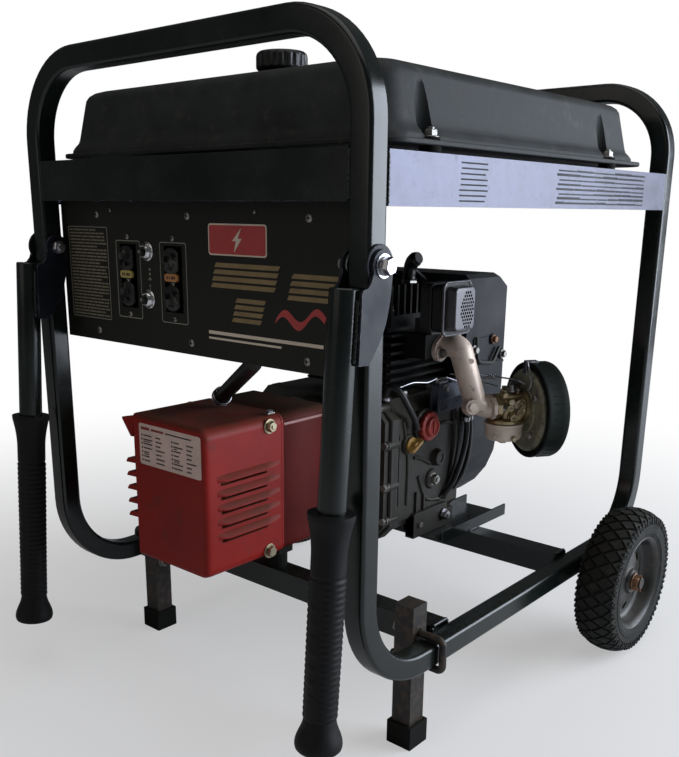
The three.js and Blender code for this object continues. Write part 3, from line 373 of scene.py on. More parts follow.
class Part:
    """One Blender piece, put together from simple swept, turned and lofted shapes."""

    def __init__(self, name, body="frame", matrix=None):
        self.name = name
        self.body = body
        self.matrix = matrix
        self.verts = []
        self.faces = []
        self.tags = []
        self.mats = []
        self.current = 0

    def use(self, key):
        if key not in self.mats:
            self.mats.append(key)
        self.current = self.mats.index(key)
        return self

    def add(self, verts, faces):
        base = len(self.verts)
        self.verts += [Vector(v) for v in verts]
        self.faces += [[base + i for i in f] for f in faces]
        self.tags += [self.current] * len(faces)
        return self

    def loft(self, rings, closed=False, caps=True):
        n = len(rings[0])
        faces = []
        spans = len(rings) if closed else len(rings) - 1
        for i in range(spans):
            j = (i + 1) % len(rings)
            for k in range(n):
                m = (k + 1) % n
                faces.append((i * n + k, i * n + m, j * n + m, j * n + k))
        if caps and not closed:
            faces.append(tuple(reversed(range(n))))
            faces.append(tuple((len(rings) - 1) * n + k for k in range(n)))
        return self.add([v for ring in rings for v in ring], faces)

    def box(self, x0, x1, y0, y1, z0, z1):
        flat = [(x0, y0), (x1, y0), (x1, y1), (x0, y1)]
        return self.loft([[(x, y, z) for x, y in flat] for z in (z0, z1)])

    def prism(self, axis, outline, low, high):
        return self.loft([[place(axis, a, b, h) for a, b in outline] for h in (low, high)])

    def lathe(self, axis, profile, at=(0, 0), n=48):
        """profile: (radius, height) points; closed ring, or from axis to axis."""
        on_axis = profile[0][0] == 0
        rows = profile[1:-1] if on_axis else profile
        rings = [[place(axis, at[0] + r * math.cos(TAU * k / n), at[1] + r * math.sin(TAU * k / n), h)
                  for k in range(n)] for r, h in rows]
        if not on_axis:
            return self.loft(rings, closed=True)
        verts = [v for ring in rings for v in ring]
        verts += [place(axis, *at, profile[0][1]), place(axis, *at, profile[-1][1])]
        a, b = len(verts) - 2, len(verts) - 1
        last = (len(rows) - 1) * n
        faces = []
        for i in range(len(rows) - 1):
            for k in range(n):
                m = (k + 1) % n
                faces.append((i * n + k, i * n + m, (i + 1) * n + m, (i + 1) * n + k))
        faces += [(a, (k + 1) % n, k) for k in range(n)]
        faces += [(b, last + k, last + (k + 1) % n) for k in range(n)]
        return self.add(verts, faces)

    def rod(self, axis, r, low, high, at=(0, 0), n=24, ease=0.0):
        e = ease or min(0.6, r * 0.12, (high - low) * 0.3)
        return self.lathe(axis, [(0, low), (r - e, low), (r, low + e), (r, high - e), (r - e, high), (0, high)], at, n)

    def sweep(self, section, stations, up=None):
        """section: (side, up) points; one radius factor per station may follow as a third item."""
        rings = []
        side = None
        last = None
        for st in stations:
            at, heading = Vector(st[0]), Vector(st[1])
            grow = st[2] if len(st) > 2 else 1.0
            if side is None:
                guide = Vector(up) if up else (Vector((0, 0, 1)) if abs(heading.z) < 0.9 else Vector((0, 1, 0)))
                side = heading.cross(guide).normalized()
            else:
                turn = last.rotation_difference(heading)
                side = (turn @ side).normalized()
            side = (side - heading * side.dot(heading)).normalized()
            upward = side.cross(heading)
            rings.append([at + side * (a * grow) + upward * (b * grow) for a, b in section])
            last = heading
        return self.loft(rings)

    def tube(self, r, points, bend=None, n=14, quarter=8, smooth=False):
        stations = spline(points, 40) if smooth else route(points, bend or 2 * r, quarter)
        return self.sweep(circle(r, n), stations)

    def hexhead(self, axis, flats, low, high, at=(0, 0), out=1):
        """Hexagon head with its outer corners turned off; out says which end is the outer one."""
        r = flats / math.sqrt(3)
        e = (high - low) * 0.22
        levels = [(1.0, low), (1.0, high - e), (0.9, high)] if out > 0 else [(0.9, low), (1.0, low + e), (1.0, high)]
        return self.loft([[place(axis, a, b, h) for a, b in circle(r * k, 6, at, 0.26)] for k, h in levels])

    def done(self, *nodes, bevel=0.7, angle=32, segments=2, slot=None, weld=True):
        mesh = bpy.data.meshes.new(self.name)
        pts = [self.matrix @ v if self.matrix else v for v in self.verts]
        mesh.from_pydata([to_row(p) for p in pts], [], self.faces)
        for key in self.mats:
            mesh.materials.append(M[key])
        for poly, tag in zip(mesh.polygons, self.tags):
            poly.material_index = tag
        face_outward(mesh, weld)
        mesh.shade_smooth()
        mesh.set_sharp_from_angle(angle=math.radians(angle + 6))
        obj = link(self.name, mesh)
        if bevel:
            soften(obj, bevel, angle, segments)
        if self.body:
            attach(obj, self.body)
        if nodes:
            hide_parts(*nodes)
            slot = slot or SLOTS[nodes[0]]
        return obj


SLOTS = {s["node"]: s["material_slot"] for s in frame["record"]["subparts"]}


def face_outward(mesh, weld=False):
    """Turns every face outward, after joining corners that meet if weld is set."""
    bm = bmesh.new()
    bm.from_mesh(mesh)
    if weld:
        bmesh.ops.remove_doubles(bm, verts=bm.verts, dist=2e-6)
    bmesh.ops.recalc_face_normals(bm, faces=bm.faces)
    bm.to_mesh(mesh)
    bm.free()


def soften(obj, width, angle=32, segments=2):
    """Rounds every edge sharper than the angle by a width in millimetres."""
    mod = obj.modifiers.new("edges", "BEVEL")
    mod.width = width / 1000
    mod.segments = segments
    mod.limit_method = "ANGLE"
    mod.angle_limit = math.radians(angle)
    mod.harden_normals = True
    mod.use_clamp_overlap = True


def dress(node, key, bevel=0.8, segments=2):
    """A CAD node that is shown as it is, with softened edges and a finished material."""
    obj = frame["nodes"][node]
    obj.data.materials.clear()
    obj.data.materials.append(M[key])
    obj.data.shade_smooth()
    obj.data.set_sharp_from_angle(angle=math.radians(38))
    if bevel:
        soften(obj, bevel, 32, segments)
    return obj


def carve(obj, part, merge=False):
    """Cuts the part's shape out of a finished piece; merge joins a piece made of overlapping shells first."""
    mesh = bpy.data.meshes.new("cutter")
    mesh.from_pydata([to_row(v) for v in part.verts], [], part.faces)
    face_outward(mesh)
    cutter = link("cutter", mesh)
    mod = obj.modifiers.new("cut", "BOOLEAN")
    mod.operation = "DIFFERENCE"
    mod.solver = "EXACT"
    mod.use_self = merge
    mod.object = cutter
    bpy.context.view_layer.update()
    dg = bpy.context.evaluated_depsgraph_get()
    cut = bpy.data.meshes.new_from_object(obj.evaluated_get(dg))
    obj.modifiers.clear()
    obj.data = cut
    bpy.data.objects.remove(cutter)
    cut.set_sharp_from_angle(angle=math.radians(38))


def even_out(obj):
    """Keeps large flat faces flat where they meet rounded edges."""
    mod = obj.modifiers.new("even", "WEIGHTED_NORMAL")
    mod.keep_sharp = True
    mod.weight = 90


# ------------------------------------------------------------------ cradle
def weld_bead(part, points, r=2.2):
    """A hand-laid weld: a thin bead that swells and narrows along its line."""
    p = [Vector(q) for q in points]
    stations = []
    for a, b in zip(p, p[1:]):
        n = max(4, int((b - a).length / 1.6))
        for i in range(n):
            grow = 0.82 + 0.22 * abs(math.sin(i * 1.15)) + rnd.uniform(-0.05, 0.05)
            stations.append((a.lerp(b, i / n), (b - a).normalized(), grow))
    stations.append((p[-1], (p[-1] - p[-2]).normalized(), 0.6))
    part.sweep(circle(r, 8), stations)


def build_cradle():
    section = rounded(-TUBE_R, TUBE_R, -TUBE_R, TUBE_R, 4.4, 4)
    low, high = 122.7, 752.3
    for name, y, node in (("hoop_front_tube", TUBE_R, "front_hoop"), ("hoop_rear_tube", LENGTH - TUBE_R, "rear_hoop")):
        line = [(-LEG_X, 334, low), (-LEG_X, y, low), (-LEG_X, y, high), (LEG_X, y, high), (LEG_X, y, low),
                (LEG_X, 334, low)]
        hoop = Part(name).use("frame").sweep(section, route(line, [97.3, 87.3, 87.3, 97.3], 16))
        even_out(hoop.done(node, bevel=0, angle=50))

    for side in ("left", "right"):
        dress("side_rail_" + side, "rail", 1.2, 3)
        dress("foot_post_" + side, "worn", 2.2, 3)
        dress("foot_pad_" + side, "rubber", 1.6, 3)
    for node in ("front_cross_rail", "rear_cross_rail", "front_crossmember", "rear_crossmember"):
        dress(node, "frame", 1.2, 3)

    welds = Part("cradle_welds").use("frame")
    for s in (-1, 1):
        x = s * 238.6
        for near, far in ((159, 189), (451, 481)):
            for y in (near, far):
                weld_bead(welds, [(x, y, 112), (x, y, 139)])
            weld_bead(welds, [(x, near + 1, 140.3), (x, far - 1, 140.3)])
        for y in (25.8, LENGTH - 25.8):
            weld_bead(welds, [(s * 262.5, y, 598), (s * 262.5, y, 641)], 1.9)
        for y in (2.5, LENGTH - 2.5):
            weld_bead(welds, [(x, y, 602), (x, y, 643)], 1.9)
    for x in (28, 100, -148, -220):
        weld_bead(welds, [(x, 453, 140.6), (x, 479, 140.6)], 1.8)
    welds.done(bevel=0, angle=80, slot="frame_paint")


def build_rail_print():
    """Rows of dark printed strokes on the outer faces of the side rails, laid like bricks."""
    for s, side in ((1, "right"), (-1, "left")):
        part = Part("rail_print_" + side).use("rail_ink")
        x0, x1 = sorted((s * 264.0, s * 264.18))
        for row in range(8):
            z = 600.8 + row * 5.0
            part.box(x0, x1, 137 + rnd.uniform(-2, 2), 184 + rnd.uniform(-3, 3), z, z + 1.5)
        for row in range(8):
            z = 600.8 + row * 5.0
            y = 330 + (row % 3) * 3
            while y < 566:
                step = rnd.choice((22, 30, 44, 58))
                end = min(y + step, 572)
                thick = rnd.choice((1.6, 2.2, 2.8))
                part.box(x0, x1, y, end - 1.2, z, z + thick)
                y = end
        part.done(bevel=0, slot="rail_paint")


# ------------------------------------------------------------------ feet
def build_feet():
    for s, side in ((1, "right"), (-1, "left")):
        part = Part("foot_clamp_" + side).use("worn")
        lows = (104.5, 140.9)
        reach = s * 269.5
        inner = s * 200.3
        line = [(inner, 136, lows[0]), (reach, 136, lows[0]), (reach, 136, lows[1]), (inner, 136, lows[1])]
        part.sweep(circle(4.3, 16), route(line, 7, 8))
        for z in lows:
            for k in range(5):
                x = s * (201.2 + 1.6 * k)
                part.rod("x", 4.75, min(x, x + s * 0.8), max(x, x + s * 0.8), (136, z), 16)
            a, b = sorted((s * 205.4, s * 212.0))
            part.use("steel").hexhead("x", 14, a, b, (136, z), -s).use("worn")
            a, b = sorted((s * 211.2, s * 212.2))
            part.use("steel").rod("x", 9, a, b, (136, z), 24).use("worn")
        part.done("foot_ubolt_" + side, bevel=0.4)


# ------------------------------------------------------------------ lifting handles
def ear_outline():
    pts = []
    for i in range(25):
        a = -0.3 + (math.pi + 0.75) * i / 24
        pts.append((14.5 * math.cos(a), 14.5 * math.sin(a)))
    pts += [(-15.4, -14.5), (-19.5, -19.5), (-25.6, -21.2), (-27, -23.5), (-26, -86), (-12.5, -86)]
    a, b, c = Vector((-12.5, -86)), Vector((13, -60)), Vector((13.6, -12.8))
    for i in range(1, 16):
        t = i / 16
        q = a * (1 - t) ** 2 + b * (2 * t * (1 - t)) + c * t * t
        pts.append((q.x, q.y))
    return pts


def pierced_plate(part, edge, hole, low, high):
    """A flat plate across X with one hole through it."""
    flat = [(y, z) for y, z in edge] + [(y, z) for y, z in hole]
    n, m = len(edge), len(flat)
    tris = tessellate_polygon([[Vector((y, z, 0)) for y, z in edge], [Vector((y, z, 0)) for y, z in hole]])
    faces = [tuple(t) for t in tris] + [tuple(m + i for i in t) for t in tris]
    for start, count in ((0, n), (n, m - n)):
        for k in range(count):
            a, b = start + k, start + (k + 1) % count
            faces.append((a, b, m + b, m + a))
    part.add([(x, y, z) for x in (low, high) for y, z in flat], faces)


def grip_radius(z, turn, top, end):
    """Radius of the rubber sleeve at a height below the pivot and an angle round it (0 is the front strip)."""
    d = top - z
    u = z - end
    r = 17.2 - 1.0 * min(1.0, d / 200)
    if d < 42:
        t = d / 42
        r += 6.4 * (1 - t) ** 2 * (1 if d > 5 else 0.82 + 0.036 * d)
    if u < 34:
        t = max(0.0, (u - 8) / 26)
        swell = 7.3 * (1 - t * t * (3 - 2 * t))
        r += swell if u > 8 else 7.3 * math.sqrt(max(0.0, 1 - ((8 - u) / 9.5) ** 2)) - (16.2 * max(0, 3 - u) / 9)
    off = abs(((turn + math.pi) % TAU) - math.pi)
    side = min(off, math.pi - off)
    ribbed = min(1.0, max(0.0, (side - 0.52) / 0.16))
    if 62 < d and u > 36:
        r += ribbed * 0.95 * (0.5 + 0.5 * math.sin(d * TAU / 6.2)) ** 0.7
    if 88 < d < 178 and off < 0.5:
        wave = math.cos((d - 88) * TAU / 15)
        r += 0.55 * max(0.0, wave) ** 0.6 * max(0.0, 1 - (off / 0.34) ** 4)
    if abs(d - 60) < 1.2 or abs(u - 35) < 1.2:
        r -= 0.7
    return r


def build_handles():
    lean = math.radians(-4.1)
    for s, side in ((1, "right"), (-1, "left")):
        pivot = Matrix.Translation((s * LEG_X, TUBE_R, PIVOT_Z))
        mirror = Matrix.Diagonal((s, 1, 1, 1))
        hung = pivot @ Matrix.Rotation(lean, 4, "X") @ mirror
        body = "handle_" + side
        arm = Part("handle_arm_" + side, body, hung).use("frame")
        top, end = GRIPS[side]
        arm.lathe("z", [(0, end + 8), (13.2, end + 8), (13.75, end + 8.6), (13.75, -21.5), (12.6, -20.2), (0, -20.2)],
                  (0, -28.3), 40)
        arm.use("ear")
        for x in (16, -19):
            pierced_plate(arm, ear_outline(), circle(5.2, 32), x, x + 3)
        arm.use("frame").box(-16.1, 16.1, -27, -24, -86, -23)
        arm.use("frame").box(-16.1, 16.1, -19, -16.8, -86, -25)
        weld_bead(arm, [(15, -28, -30), (15, -28, -84)], 1.7)
        weld_bead(arm, [(-15, -28, -30), (-15, -28, -84)], 1.7)
        arm.done("handle_tube_" + side, bevel=0.6)

        grip = Part("handle_sleeve_" + side, body, hung).use("grip")
        rings = []
        step = 1.3
        heights = [top - i * step for i in range(int((top - end) / step))] + [end + 0.01]
        for z in heights:
            ring = []
            for k in range(72):
                a = TAU * k / 72
                r = grip_radius(z, a, top, end)
                ring.append((r * math.sin(a), -28.3 - r * math.cos(a), z))
            rings.append(ring)
        inner = [[(14.1 * math.sin(TAU * k / 72), -28.3 - 14.1 * math.cos(TAU * k / 72), z) for k in range(72)]
                 for z in (top - 5, top + 0.01)]
        grip.loft(inner + rings, caps=False)
        grip.add(rings[-1], [tuple(range(72))])
        grip.done("handle_grip_" + side, bevel=0, angle=60)

        bolt = Part("handle_pivot_bolt_" + side, "frame", pivot @ mirror).use("ear")
        bolt.lathe("x", [(5, 13.0), (18.0, 13.0), (18.5, 13.5), (18.5, 15.0), (18.0, 15.6), (5, 15.6)], n=56)
        bolt.use("zinc")
        bolt.lathe("x", [(5, 19.1), (10.6, 19.1), (10.8, 19.4), (10.8, 20.0), (5, 20.2)], n=40)
        bolt.lathe("x", [(5, 20.2), (8.3, 20.2), (8.5, 21.3), (8.3, 22.3), (5, 22.3)], n=40)
        bolt.hexhead("x", 14.3, 22.2, 28.1)
        bolt.lathe("x", [(0, 28.0), (4.6, 28.0), (4.6, 28.35), (0, 28.35)], n=24)
        bolt.rod("x", 4.8, -26, 24, n=24)
        bolt.lathe("x", [(5, -15.6), (11.5, -15.6), (11.5, -13.2), (5, -13.2)], n=40)
        bolt.hexhead("x", 14.3, -26.2, -19.2, out=-1)
        for k in range(3):
            bolt.rod("x", 5.1, -29.2 + 1.1 * k, -28.6 + 1.1 * k, n=20)
        bolt.rod("x", 4.6, -29.6, -26, n=20)
        bolt.done("handle_bolt_" + side, bevel=0.25)


# ------------------------------------------------------------------ wheels
def build_wheels():
    centre_y, centre_z = AXLE
    wheel_r = AXLE[1]

    def crown(t):
        """Point across the tread, t from -1 to 1, as (radius, sideways)."""
        a = t * 1.15
        return wheel_r - 3.4 - 17 * (1 - math.cos(a)), 26.6 * math.sin(a) / math.sin(1.15)

    carcass = [(62, -21), (66, -24.5), (70, -25.2), (71, -26.3), (76, -26.8), (77, -26.0), (82, -26.4)]
    carcass += [(r, x) for r, x in (crown(-1 + 2 * i / 24) for i in range(25))]
    carcass += [(82, 26.4), (77, 26.0), (76, 26.8), (71, 26.3), (70, 25.2), (66, 24.5), (62, 21)]
    rim = [(8.3, -24), (16, -24), (17, -23), (17.6, -10), (20, -7), (30, -6.5), (46, -12), (55, -14.5), (57, -18),
           (60, -21.5),
           (64.5, -24.3), (65.8, -23.4), (64.4, -22.4), (61.7, -19), (61.4, 0), (61.7, 19), (64.4, 22.4), (65.8, 23.4),
           (64.5, 24.4), (60.6, 21.6), (58.5, 17), (56, 8), (53, 4.6), (47, 3.4), (38, 6.2), (30, 8.6), (22, 9.2),
           (18, 10.5),
           (17, 13.6), (15.6, 15), (8.3, 15)]
    for s, side in ((1, "right"), (-1, "left")):
        to = Matrix.Translation((s * 308, centre_y, centre_z)) @ Matrix.Diagonal((s, 1, 1, 1))
        body = "wheel_" + side
        tyre = Part("tyre_tread_" + side, body, to).use("tyre")
        tyre.lathe("x", carcass, n=96)
        n = 34
        for row, t0 in enumerate((-0.84, -0.42, 0.0, 0.42, 0.84)):
            for k in range(n):
                mid = TAU * (k + (0.5 if row % 2 else 0.0)) / n
                corners = []
                for lift, shrink in ((-1.5, 1.0), (3.3, 0.84)):
                    for dt, da in ((0, -0.95), (0.36, 0), (0, 0.95), (-0.36, 0)):
                        t = max(-1.12, min(1.12, t0 + dt * shrink))
                        r, x = crown(t)
                        a = mid + da * shrink * math.pi / n
                        r += lift * (1.0 if abs(t) < 0.8 else 0.8)
                        r = min(r, wheel_r)
                        corners.append((x * (1 + 0.02 * (lift > 0)), r * math.cos(a), r * math.sin(a)))
                tyre.loft([corners[:4], corners[4:]])
        for k in range(n * 2):
            a = TAU * k / (n * 2)
            lug = []
            for r, x in ((84, 27.0), (94, 25.6)):
                for da in (-0.018, 0.018):
                    lug.append((x, r * math.cos(a + da), r * math.sin(a + da)))
            for sign in (1, -1):
                low = [(sign * (x - 2), y, z) for x, y, z in lug]
                top = [(sign * (x + 0.9), y, z) for x, y, z in lug]
                order = (0, 1, 3, 2)
                tyre.loft([[low[i] for i in order], [top[i] for i in order]])
        tyre.done("tyre_" + side, bevel=0, angle=36)
        disc = Part("rim_disc_" + side, body, to).use("rim")
        disc.lathe("x", rim, n=72)
        obj = disc.done("wheel_rim_" + side, bevel=0, angle=40)
        holes = Part("cutter")
        for k in range(8):
            a = TAU * k / 8
            holes.rod("x", 6, s * 308 - 40, s * 308 + 40, (centre_y + 38 * math.cos(a), centre_z + 38 * math.sin(a)),
                      20)
        carve(obj, holes)


def build_axle():
    centre_y, centre_z = AXLE
    axle = Part("axle_bar").use("worn").rod("x", 8, -335.2, 335.2, AXLE, 32)
    for s in (-1, 1):
        x = s * LEG_X
        axle.use("frame").box(x - 11, x + 11, centre_y - 12, centre_y + 12, 97.6, 110)
        spans = (("worn", 13, 278.7, 283.7), ("rust", 12, 323.3, 325.3))
        for key, r, a, b in spans:
            a, b = sorted((s * a, s * b))
            axle.use(key).rod("x", r, a, b, AXLE, 32)
        a, b = sorted((s * 324.8, s * 332.3))
        axle.use("rust").hexhead("x", 19, a, b, AXLE, s)
        weld_bead(axle.use("frame"), [(x - 11, centre_y - 12, 99), (x - 11, centre_y + 12, 99)], 1.8)
        axle.use("rust").tube(1.3, [(s * 333.4, centre_y, centre_z - 12), (s * 333.4, centre_y, centre_z + 12)], n=8)
    axle.done("axle", bevel=0.4)


# ------------------------------------------------------------------ small repeated things
def hex_bolt(part, axis, flats, base, height, at, out=1, washer=0.0, key="zinc"):
    """A hexagon head on a washer; base is the face it sits on, along the axis."""
    gap = 0.0
    if washer:
        a, b = sorted((base, base + out * 1.4))
        part.use(key).rod(axis, washer, a, b, at, 32)
        gap = 1.2
    a, b = sorted((base + out * gap, base + out * (gap + height)))
    part.use(key).hexhead(axis, flats, a, b, at, out)


def round_screw(part, axis, r, base, at, out=-1, key="zinc"):
    """A domed screw head with a cross recess shown as two bars of painted shade."""
    o = out
    profile = [(0, base - 0.4 * o), (r, base - 0.4 * o), (r, base + 0.5 * o), (r * 0.86, base + 1.1 * o),
               (r * 0.5, base + 1.6 * o), (0, base + 1.75 * o)]
    part.use(key).lathe(axis, profile, at, 24)
    # painted shade: the recess is not cut, two black bars stand for its shade
    part.use("painted_shade")
    for w, h in ((r * 0.5, r * 0.13), (r * 0.13, r * 0.5)):
        pts = [(at[0] - w, at[1] - h), (at[0] + w, at[1] - h), (at[0] + w, at[1] + h), (at[0] - w, at[1] + h)]
        low, high = sorted((base + 1.0 * o, base + 1.8 * o))
        part.prism(axis, pts, low, high)


def flat_print(part, key, points, lift=INK):
    """A flat printed shape, given in X and Z."""
    part.use(key).prism("y", points, FACE - lift, FACE + 0.05)


def bar(part, key, x0, x1, z0, z1, lift=INK):
    flat_print(part, key, [(x0, z0), (x1, z0), (x1, z1), (x0, z1)], lift)


def outline_frame(part, key, x0, x1, z0, z1, w, r):
    """A thin printed line round a rectangle with rounded corners."""
    outer = rounded(x0, x1, z0, z1, r, 5)
    inner = rounded(x0 + w, x1 - w, z0 + w, z1 - w, max(0.4, r - w), 5)
    levels = ((outer, FACE - INK), (inner, FACE - INK), (inner, FACE + 0.05), (outer, FACE + 0.05))
    part.use(key).loft([[(a, y, b) for a, b in ring] for ring, y in levels], closed=True)


def arc_slot(at, r0, r1, start):
    """A curved slot between two radii, just under a radian long."""
    spots = [(r, start + 0.12 * k) for r, ks in ((r1, range(9)), (r0, range(8, -1, -1))) for k in ks]
    return [(at[0] + r * math.cos(a), at[1] + r * math.sin(a)) for r, a in spots]


# ------------------------------------------------------------------ control panel
def build_panel():
    dress("control_panel", "panel", 1.6, 3)
    art = Part("panel_printing")
    outline_frame(art, "print_line", -229, -150, 463, 571, 0.8, 2.0)
    z = 568.0
    row = 0
    while z > 466:
        x = -226.0
        end = -153.0 if row % 5 else -153.0 - rnd.uniform(8, 30)
        while x < end - 3:
            w = min(rnd.uniform(3.5, 15), end - x)
            bar(art, "print_text", x, x + w, z - 1.75, z)
            x += w + 1.3
        z -= 3.85
        row += 1
    for _, x, _ in OUTLETS:
        outline_frame(art, "print_line", x - 22.5, x + 22.5, 469, 557, 0.9, 3.0)
    for z, marks in ((526, 3), (507, 2)):
        for k in range(marks):
            flat_print(art, "print_line", [(-73.5 + a, z - 5 * k + b) for a, b in circle(1.5, 16)])
    bar(art, "print_line", -74.2, -72.8, 502.5, 509.5)
    bar(art, "print_line", -76.5, -70.5, 514.2, 515.6)

    # plain coloured trim: a red tag with a bolt of lightning, gold stripes, a red stroke and a pale stripe
    flat_print(art, "print_cream", rounded(27, 113, 546, 578, 3.5, 6), lift=0.3)
    flat_print(art, "print_red", rounded(28.6, 111.4, 547.6, 576.4, 2.6, 6), lift=0.5)
    bolt = [(66, 549.5), (77.5, 563.5), (71.8, 563.5), (77, 574), (63.5, 561), (69.2, 561)]
    flat_print(art, "print_cream", bolt, lift=0.65)
    for x0, x1, low, high in ((29, 127, 513, 541), (140, 206, 507, 535), (60, 107, 479, 506)):
        step = (high - low) / 4
        for k in range(4):
            a = low + k * step
            flat_print(art, "print_gold", [(x0 + 2 * k, a), (x1 - 5 + 2 * k, a), (x1 - 2 + 2 * k, a + step * 0.66),
                                           (x0 + 3 + 2 * k, a + step * 0.66)])
    wave = [(123 + 66 * t, 482 + 7 * math.sin(t * 9.5) + 6 * t) for t in (i / 24 for i in range(25))]
    band = wave + [(x + 2.5, z + 9 - 3 * abs(2 * i / 24 - 1)) for i, (x, z) in reversed(list(enumerate(wave)))]
    for i in range(24):
        flat_print(art, "print_red", [band[i], band[i + 1], band[48 - i], band[49 - i]])
    bar(art, "print_cream", 24, 188, 463.5, 467.0)
    bar(art, "print_cream", 24, 132, 458.0, 460.2)
    art.done(bevel=0, slot="panel_paint", weld=False)

    heads = Part("panel_screws")
    for x, z in ((-169, 585), (-6, 585), (169, 585), (-176, 449), (-5, 450), (167, 449)):
        round_screw(heads, "y", 4.2, FACE, (x, z), key="steel")
    for x, z in ((-142, 590), (-112, 562), (-31, 562), (96, 590)):
        round_screw(heads, "y", 2.2, FACE, (x, z), key="steel")
    heads.done(bevel=0, slot="plated_steel")


def build_outlets():
    """A plain duplex outlet on the left and a locking one on the right, with open slots."""
    mid = 517  # Z of the outlets
    starts = (0.35, 2.45, 4.55)  # where the three curved slots of a locking outlet begin
    for side, x, tag in OUTLETS:
        body = Part("outlet_duplex_" + side).use("outlet")
        body.prism("y", rounded(x - 14.3, x + 14.3, 481.7, 552.3, 3, 5), 26.4, 53.8)
        for dz in (-20, 20):
            turns = [TAU * k / 48 for k in range(48)]
            ring = [(x + max(-12.3, min(12.3, 15.4 * math.cos(a))), mid + dz + 14.2 * math.sin(a)) for a in turns]
            body.prism("y", ring, 24.4, 27)
        body.prism("y", rounded(x - 6, x + 6, 513, 521, 1.5, 4), 25.2, 27)
        obj = body.done("outlet_" + side, bevel=0.45)
        holes = Part("cutter")
        for dz in (-20, 20):
            if side == "left":
                for a, h in ((x - 6.2, 8.4), (x + 6.2, 6.6)):
                    holes.box(a - 1.1, a + 1.1, 20, 33, 520 + dz - h / 2, 520 + dz + h / 2)
                holes.rod("y", 2.5, 20, 33, (x, 510.5 + dz), 16)
            else:
                for start in starts:
                    holes.prism("y", arc_slot((x, mid + dz), 6.6, 8.7, start), 20, 33)
        carve(obj, holes)
        trim = Part("outlet_trim_" + side)
        trim.use("brass")
        for dz in (-20, 20):
            if side == "left":
                for dx in (-6.2, 6.2):
                    trim.box(x + dx - 0.7, x + dx + 0.7, 28.4, 31, mid + dz - 0.5, 523 + dz)
            else:
                for start in starts:
                    trim.prism("y", arc_slot((x, mid + dz), 7.1, 8.2, start), 27.0, 30)
        trim.use(tag).prism("y", rounded(x - 11, x + 11, 515.0, 523.4, 3.4, 6), 24.0, 26.6)
        trim.use("ink")
        for k, w in enumerate((2.6, 1.7, 3.4, 2.4)):
            trim.box(x - 7.5 + 4 * k, x - 7.5 + 4 * k + w, 23.88, 24.1, 517.6, 520.6)
        round_screw(trim, "y", 3.4, 26.6, (x, mid - 5.2), key="steel")
        trim.done(bevel=0, slot="black_plastic")
        plates = Part("outlet_screws_" + side)
        for z in (561, 473.5):
            round_screw(plates, "y", 3.1, FACE, (x, z), key="steel")
        plates.done(bevel=0, slot="plated_steel")


def build_breakers():
    for name, z in (("upper", 546), ("lower", 493)):
        collar = Part("breaker_collar_" + name).use("chrome")
        collar.lathe("y", [(5.35, 28.2), (10.8, 28.2), (10.8, 26.6), (9.2, 25.6), (8.0, 22.0), (6.4, 20.6),
                           (5.35, 20.8)],
                     (-76, z), 40)
        nut = ((10.2, 27.6), (10.4, 25.2), (9.4, 24.4), (6.4, 24.4), (6.4, 27.6))
        collar.use("steel").loft([[(a, h, b) for a, b in circle(r, 6, (-76, z), 0.3)] for r, h in nut], closed=True)
        collar.done(bevel=0.2, slot="plated_steel")
        stem = Part("breaker_stem_" + name, "breaker_" + name).use("plastic")
        stem.lathe("y", [(0, 40), (4.9, 40), (4.9, 17.5), (4.3, 16.5), (2.4, 16.1), (0, 16.0)], (-76, z), 28)
        stem.use("print_line").lathe("y", [(0, 16.15), (1.7, 16.15), (1.7, 15.95), (0, 15.95)], (-76, z), 16)
        stem.done("breaker_button_" + name, bevel=0.15)


# ------------------------------------------------------------------ fuel tank
def rect_ring(half, y0, y1, r, z, steps=10):
    return [(x, y, z) for x, y in rounded(-half, half, y0, y1, r, steps)]


